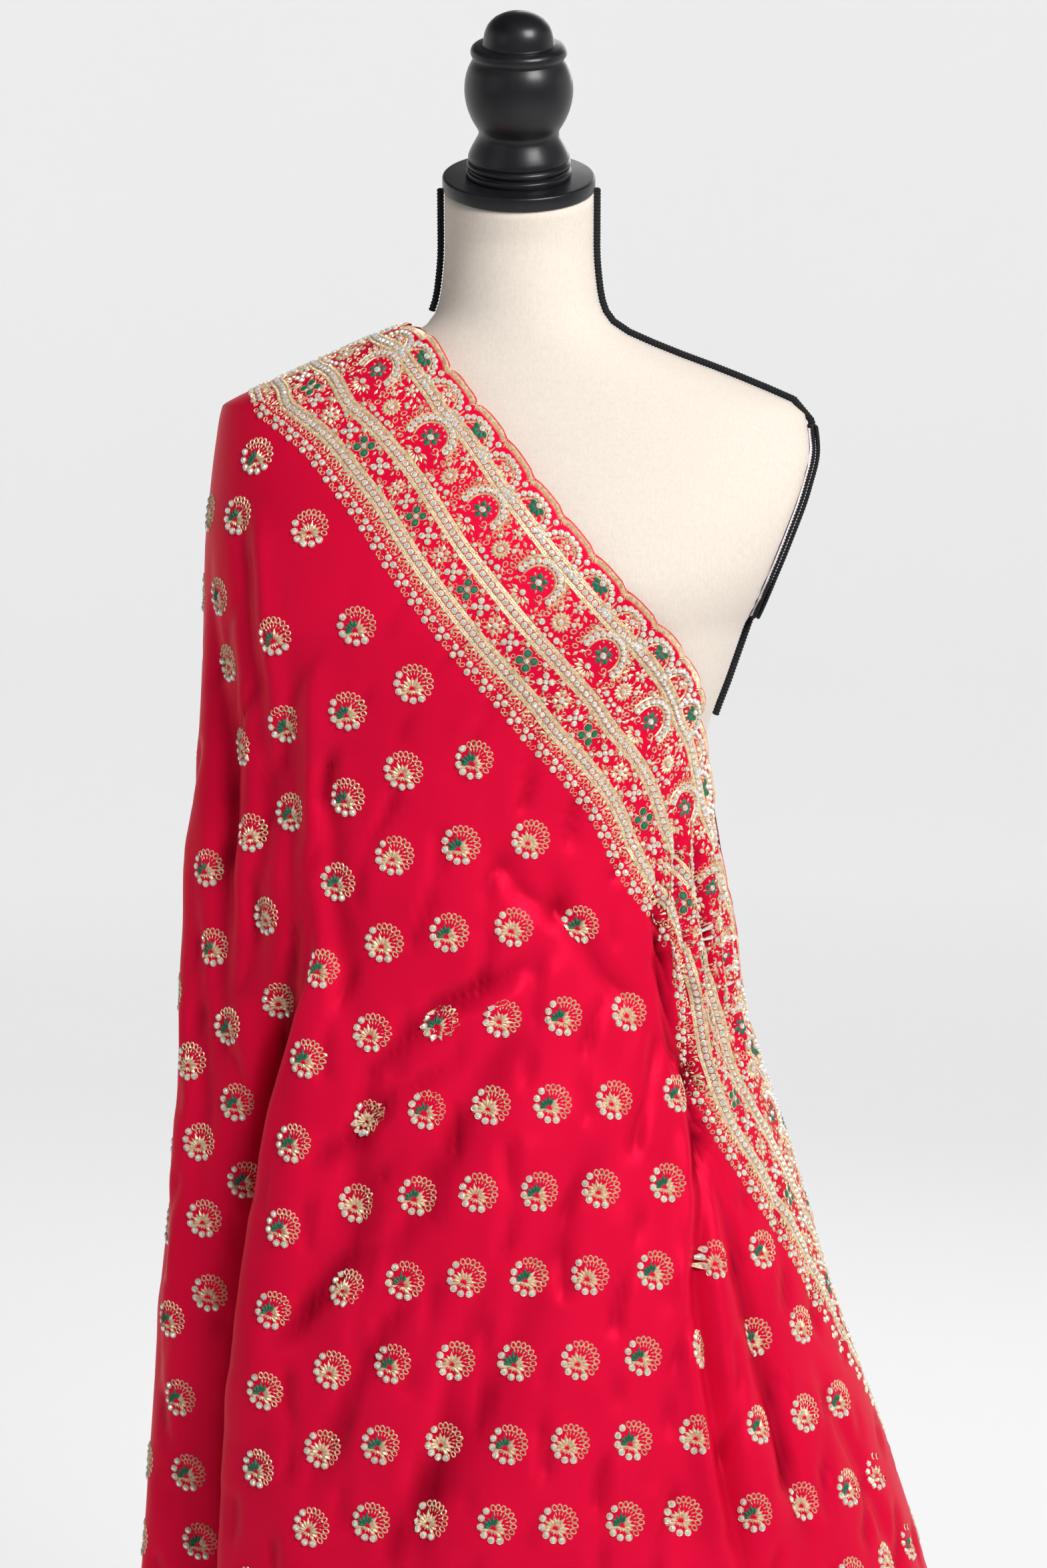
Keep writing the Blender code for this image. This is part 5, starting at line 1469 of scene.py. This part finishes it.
def stem_flower(fine):
    """The small five-petalled flower beside line one, with its stem and pointed leaves."""
    made = motif()
    petals(made, 0, 0, range(90, 450, 72), 1.0, 5.8, 4.2)
    stone(made, 0, 0, fine, 3.2, 4.2)
    cord(made, [(0, 5), (0.8, 7), (0.4, 9.5)] if fine else [(0, 5), (0.4, 9.5)], 1.1)
    leaves = both_sides((5.6, 5.4, 60), (8.2, 1.4, 20), (7.2, -4.2, -30), (10.0, 6.4, 70))
    each(made, satin_stitch, leaves, 6.0, 3.0)
    if fine:
        each(made, stone, both_sides((6.8, 9.6)), fine, 2.8, 3.8)
        each(made, knot, both_sides((11.4, -0.6)), 2.0)
    return joined(made)


def dot_cluster(fine, green):
    """Four green padded dots, or four stones, round a small stone, with a scroll either side."""
    made = motif()
    for x, y, _ in spokes(4.6, (45, 135, 225, 315)):
        if green:
            round_part(made, "green", x, y, 0, [(2.6, SUNK), (1.8, 1.0), (0, 1.25)], 7 if fine else 5)
            if fine:
                round_part(made, "gold", x, y, 0, [(3.3, SUNK), (2.8, 0.7), (2.5, SUNK)], 8)
        else:
            stone(made, x * 0.85, y * 0.85, fine, 3.5, 4.8)
    stone(made, 0, 0, fine, 3.0, 3.8)
    each(made, satin_stitch, ((0, 8.6, 90), (0, -8.6, 90)), 5.0, 2.4)
    if green:
        for side in (-1, 1):
            curl(made, side * 2.8, 9.4, 90 - side * 60, 2.9, side, fine)
            curl(made, side * 2.8, -9.4, -90 + side * 60, 2.9, -side, fine)
    elif fine:
        each(made, loop, both_sides((5.8, 7.6, 55), (5.8, -7.6, -55)), 4.6, 3.4, fine)
    return joined(made)


def six_flower(fine):
    """The gold flower of six petals."""
    made = motif()
    petals(made, 0, 0, range(0, 360, 60), 1.4, 7.4, 5.2, 1.0)
    if fine:
        petals(made, 0, 0, range(30, 360, 60), 4.4, 8.0, 2.0)
    stone(made, 0, 0, fine, 3.6, 4.8)
    each(made, satin_stitch, both_sides((4.4, 9.8, 55), (4.4, -9.8, -55)), 6.0, 2.8)
    return joined(made)


def bud(fine):
    """A bud of three stones on a curved stem, at the border's inner line."""
    made = motif()
    each(made, stone, ((0, 7.2), (-2.7, 2.8), (2.7, 2.8)), fine, 3.6, 4.9)
    each(made, satin_stitch, both_sides((2.6, -5.6, 120)), 6.4, 3.0)
    if fine:
        curl(made, -4.6, -2.2, 80, 2.4, 1, fine)
        curl(made, 4.6, -2.2, 100, 2.4, -1, fine)
        each(made, loop, both_sides((5.4, 6.8, 65)), 4.4, 3.2, fine)
        each(made, satin_stitch, both_sides((5.6, -4.6, 142)), 4.8, 2.4)
        each(made, satin_stitch, both_sides((2.2, -1.6, 52)), 4.6, 2.2)
        each(made, knot, both_sides((5.8, 1.6)), 2.2)
    cord(made, [(0, 0), (0.9, -3.5), (0.2, -7.6)] if fine else [(0, 0), (0.2, -7.6)], 1.6)
    return joined(made)


def filling(fine):
    """A small spray that fills the ground between larger motifs."""
    made = motif()
    stone(made, 0, 0, fine, 2.8, 3.8)
    if fine:
        each(made, loop, spokes(3.6, (35, 145, 270)), 3.6, 2.8, fine)
        petals(made, 0, 0, (90, 205, 335), 2.2, 6.4, 2.2)
    return joined(made)


def both(maker, *rest):
    """A motif's plain and fine forms; the plain one is for what is far from the eye."""
    return {fine: maker(fine, *rest) for fine in (False, True)}


scallops = {rosette: both(scallop_cell, rosette) for rosette in (False, True)}
for number in range(-BACK_SCALLOPS, FRONT_SCALLOPS):
    place = number + 0.5 + SCALLOP_SHIFT
    if place < -BACK_SCALLOPS + SCALLOP_END or out_of_sight(place, 0.0):
        continue
    spots = on_border(place + SCALLOP_NUDGE * np.array([0, 1, -1]), 0.0)
    inward = on_border(place, SCALLOP_INWARD_MM) - spots[0]
    right = unit(spots[1] - spots[2])
    up = unit(inward - right * np.dot(inward, right))
    sew_on_border(scallops[number % 2 == 1], place, spots[0], right, up)
for y in LINE_ROWS:
    sew_row(both(link), y, LINK_MM)
sew_row(both(bud), BUD_ROW, BUD_STEP_MM)
# Motif, then the phase and distance from the edge of each of its places in a repeat.
PATTERN = [
    (both(crescent), [(1.55, 42.5)]),
    (both(round_flower), [(0.50, 48.0)]),
    (both(stem_flower), [(0.50, 33.0)]),
    (both(dot_cluster, True), [(0.70, 80.5)]),
    (both(six_flower), [(1.70, 80.5)]),
    (both(dot_cluster, False), [(0.20, 80.5), (1.20, 80.5)]),
    (both(filling), [
        (0.06, 59.5), (0.94, 59.5), (0.02, 33.5), (1.02, 33.0), (0.45, 88.5), (0.95, 88.0), (1.45, 88.5),
        (1.95, 88.0), (0.45, 73.0), (0.95, 73.5), (1.45, 73.0), (1.95, 73.5),
    ]),
]
for makers, spots in PATTERN:
    for phase, y in spots:
        sew_pattern(makers, phase, y)


# Sprigs
# Small round sprigs sewn all over the plain cloth in leaning rows: a fan of gilt leaves with
# stones along one side and thread loops round the other. Every other column has green leaves.
SPRIG_FOOT = (-1.0, -3.5)
# Columns down the front, from its left edge: first row, then the angle at each row.
SPRIG_COLUMNS = [
    (0, (115.2, 114.6, 114.0, 114.9, 118.3, 120.9, 124.0, 126.4, 128.2, 130.2, 132.6)),
    (1, (102.1, 101.5, 102.4, 104.9, 107.5, 109.9, 112.9, 115.2, 117.6, 120.3, 122.4)),
    (2, (86.6, 88.7, 91.6, 93.9, 97.7, 101.1, 104.3, 107.0, 110.0, 112.6)),
    (3, (74.1, 78.5, 81.7, 85.6, 90.1, 93.7, 96.7, 100.2, 103.5)),
    (4, (64.1, 69.3, 74.0, 79.2, 83.1, 86.7, 90.0, 93.4)),
    (5, (54.6, 61.4, 67.7, 72.7, 76.5, 80.6, 84.4)),
    (6, (46.0, 54.4, 60.7, 65.8, 70.6, 74.5)),
    (9, (54.7, 59.9, 65.3)),
]
SPRIG_ROWS = (1.270, 1.216, 1.161, 1.107, 1.052, 0.995, 0.941, 0.887, 0.834, 0.782, 0.731, 0.682)
COLUMN_SAG = (0.028, 0.010, 0.003, 0.0, 0.0, 0.0, 0.0, 0.0)
# Shorter columns at the left: sheet, then angle and height of each sprig.
LEFT_COLUMNS = [
    ("satin_front", ((126.8, 1.302), (124.8, 1.247), (122.4, 1.190), (121.0, 1.133), (119.4, 1.076))),
    ("satin_front", (
        (142.1, 1.346), (136.3, 1.290), (132.4, 1.234), (130.5, 1.177), (129.1, 1.121), (125.2, 1.066),
    )),
    ("satin_left_fall", ((152.6, 1.213), (145.9, 1.160), (141.3, 1.106), (135.1, 1.053), (133.2, 0.999))),
    ("satin_left_fall", ((157.3, 1.079), (154.6, 1.028), (148.8, 0.978), (146.1, 0.930), (145.5, 0.879))),
    ("satin_left_fall", ((160.9, 0.951), (156.2, 0.900), (153.7, 0.851), (152.0, 0.803))),
    ("satin_left_fall", ((160.2, 0.781), (159.5, 0.729), (158.7, 0.679), (157.1, 0.634))),
]
CLOSEST = 0.036
BORDER_CLEAR = 0.016
BORDER_SLOPE = math.hypot(1.0, 0.35)
HEM_CLEAR = 0.026
FINE_ANGLES = (20.0, 190.0)
FINE_FOOT = 0.60
SPRIG_NUDGE = (0.6, 0.003)
COLUMN_LEAN = 6
MOST_LEAN = 20
# The leaning grid that fills the rest: its rows and columns, its middle height, its top and
# lean, and how many degrees it keeps from the rolled edges and from the ends.
GRID_ROWS = range(-13, 13)
GRID_COLUMNS = range(-24, 32)
GRID_MIDDLE = 0.731
GRID_TOP = 1.37
GRID_FINENESS = 2001
GRID_LEAN = 14.0
ROLL_CLEAR = 3.5
FALL_CLEAR = 7.0
FRONT_END = -92.0
BACK_END_LOW = 357.0
BACK_END_HIGH = 359.0


def sprig(fine, green):
    """One sprig, its stones at the lower left and its loops at the upper right."""
    made = motif()
    for x, y, _ in spokes(10.6, (150, 180, 210, 240, 270, 300)):
        stone(made, x, y, fine, 3.7, 5.1)
    turns = (-55, -30, -8, 12, 32, 52, 70, 88, 106, 124)
    each(made, loop, spokes(10.3, [t for t in turns if fine or t % 4]), 5.2, 3.8 if fine else 4.4, fine)
    if fine:
        each(made, satin_stitch, spokes(6.6, turns), 3.8, 1.2, 0.5)
    for k, turn in enumerate(range(-30, 211, 24 if fine else 40)):
        length = 7.0 if k % 2 else 8.6
        thread = "green" if green and turn in (90, 114, 138, 162, 186, 130, 170) else "gold"
        petals(made, *SPRIG_FOOT, (turn,), 1.0, 1.0 + length, 2.9 if fine else 3.8, 1.1, thread)
    each(made, satin_stitch, spokes(2.4, (235, 270, 305), *SPRIG_FOOT), 4.2, 1.9, 0.8)
    return joined(made)


sprigs = {green: both(sprig, green) for green in (False, True)}
placed = {name: [] for name in SHEETS}
inner_rows = sorted((row[2], row[3]) for row in BORDER_SECTIONS)


def field_has_room(angle, height):
    """Whether a sprig at this place is clear of the border and the hem."""
    inner = np.interp(min(angle, 360 - angle), *zip(*inner_rows))
    return inner - height > BORDER_CLEAR * BORDER_SLOPE and height > table_value(HEM, 1, angle) + HEM_CLEAR


def sew_sprig(name, angle, height, lean, green):
    """Sews one sprig on a sheet, leaning to its right by degrees."""
    near = np.array([(0, 0), (-1, 0), (1, 0), (0, 1), (0, -1)]) * SPRIG_NUDGE + (angle, height)
    near = draped(near[:, 0], near[:, 1])
    spot = near[0]
    if placed[name] and min(np.linalg.norm(spot - other) for other in placed[name]) < CLOSEST:
        return
    placed[name].append(spot)
    right = unit(near[1] - near[2])
    up = near[3] - near[4]
    up = unit(up - right * np.dot(up, right))
    c, s = math.cos(math.radians(lean)), math.sin(math.radians(lean))
    fine = FINE_ANGLES[0] < angle < FINE_ANGLES[1] and height > FINE_FOOT
    piece_name = name.replace("satin", "sprigs")
    sew(piece_name, sprigs[green][fine], spot, right * c - up * s, up * c + right * s, name)


def lean_of(way, k):
    """Lean in degrees of the sprig at one place of a column, along the column."""
    (a0, h0), (a1, h1) = way[max(0, k - 1)], way[min(len(way) - 1, k + 1)]
    aside = float(ring_run(np.array(a0), np.array(h0)) - ring_run(np.array(a1), np.array(h1)))
    return math.degrees(math.atan2(aside, h0 - h1))


for number, (first_row, angles) in enumerate(SPRIG_COLUMNS):
    way = [(a, SPRIG_ROWS[first_row + k] - COLUMN_SAG[number]) for k, a in enumerate(angles)]
    for k, (a, h) in enumerate(way):
        lean = max(0, min(MOST_LEAN, lean_of(way, k) + COLUMN_LEAN))
        sew_sprig("satin_front", a, h, lean, number % 2 == 0)
for number, (name, way) in enumerate(LEFT_COLUMNS):
    for k, (a, h) in enumerate(way):
        sew_sprig(name, a, h, lean_of(way, k), number % 2 == 1)

# The rest of each sheet, on the same leaning grid counted from the front's fifth column.
ring_angles = np.linspace(-110.0, 390.0, GRID_FINENESS)
for name, way_round in (("satin_front", 1), ("satin_left_fall", 1), ("satin_back", -1)):
    for row in GRID_ROWS:
        height = GRID_MIDDLE - SPRIG_DROP * row
        if height > GRID_TOP:
            continue
        ring_runs = ring_run(ring_angles, np.full(GRID_FINENESS, height))
        front_line, back_line = (float(table_value(rows, 1, height)) for rows, _ in ROLLS)
        low_end = float(np.interp(-height, [-h for h, a in EDGE_ROWS], [a for h, a in EDGE_ROWS]))
        back_end = BACK_END_LOW + min(0.0, low_end) if height < UNDERLAP_TOP else BACK_END_HIGH
        reach = {
            "satin_front": (FRONT_END, front_line - ROLL_CLEAR),
            "satin_left_fall": (front_line + FALL_CLEAR, back_line - FALL_CLEAR),
            "satin_back": (back_line + ROLL_CLEAR, back_end),
        }[name]
        for column in GRID_COLUMNS:
            run_at = SPRIG_STEP * column - way_round * SPRIG_LEAN * row
            angle = float(np.interp(-run_at, -ring_runs, ring_angles))
            if reach[0] < angle < reach[1] and field_has_room(angle, height):
                sew_sprig(name, angle, height, GRID_LEAN * way_round, column % 2 == 0)


# Embroidery pieces
# The sewn work of each stretch, kept as one piece for each thread and one for the stones.
gilt = tinted("gilt_thread", (0.80, 0.60, 0.38), 0.38, 0.30, Specular_IOR_Level=0.6)
colour_by(gilt, noise_of(gilt, 520.0, 3.0), (0.58, 0.40, 0.22), (0.94, 0.77, 0.53), 0.32, 0.66)
roughness_by(gilt, noise_of(gilt, 700.0, 2.0), 0.28, 0.48)
bump_by(gilt, threads_of(gilt, 0.00035, (0, math.pi / 4, math.pi / 6)), 0.00008, 0.6)
green_silk = tinted("green_silk", (0.0, 0.150, 0.080), 0.5, Sheen_Weight=0.2, Sheen_Roughness=0.4)
colour_by(green_silk, noise_of(green_silk, 600.0, 3.0), (0.0, 0.110, 0.056), (0.004, 0.200, 0.105))
bump_by(green_silk, threads_of(green_silk, 0.00035, (0, math.pi / 4, 0)), 0.00008, 0.6)
glass = tinted("foiled_glass", (0.93, 0.93, 0.95), 0.10, 0.45, Coat_Weight=0.8, Coat_Roughness=0.05)
# Painted sparkle: the stones' colour runs at random from grey to white, standing for facets that catch the
# light and facets that miss it.
colour_by(glass, noise_of(glass, 420.0, 2.0), (0.66, 0.67, 0.70), (1.00, 0.99, 1.00), 0.34, 0.54)
roughness_by(glass, noise_of(glass, 500.0, 2.0), 0.05, 0.22)
THREAD_LOOKS = {
    "gold": (gilt, "gold_thread"),
    "green": (green_silk, "green_thread"),
    "stone": (glass, "clear_stone"),
}
embroidery = {}
for (piece_name, thread), parts in sewn.items():
    points, triangles = gathered(parts)
    look, slot_name = THREAD_LOOKS[thread]
    worked = new_piece(f"{piece_name}_{thread}", points, triangles.tolist(), look, False)
    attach(worked, "root")
    embroidery.setdefault(piece_name, []).append(worked)

# The cut of each stretch that shows: the cloth's full width, and its run along the border.
SHEET_CUTS = {
    "satin_front": (1.52, ["border_front", "sprigs_front"]),
    "satin_left_fall": (0.36, ["sprigs_left_fall"]),
    "satin_back": (0.78, ["border_back", "sprigs_back"]),
}
CLOTH_WIDTH = 1.12
for name, (piece, area) in sheets.items():
    length, work = SHEET_CUTS[name]
    flat, area = (CLOTH_WIDTH, length), round(area, 3)
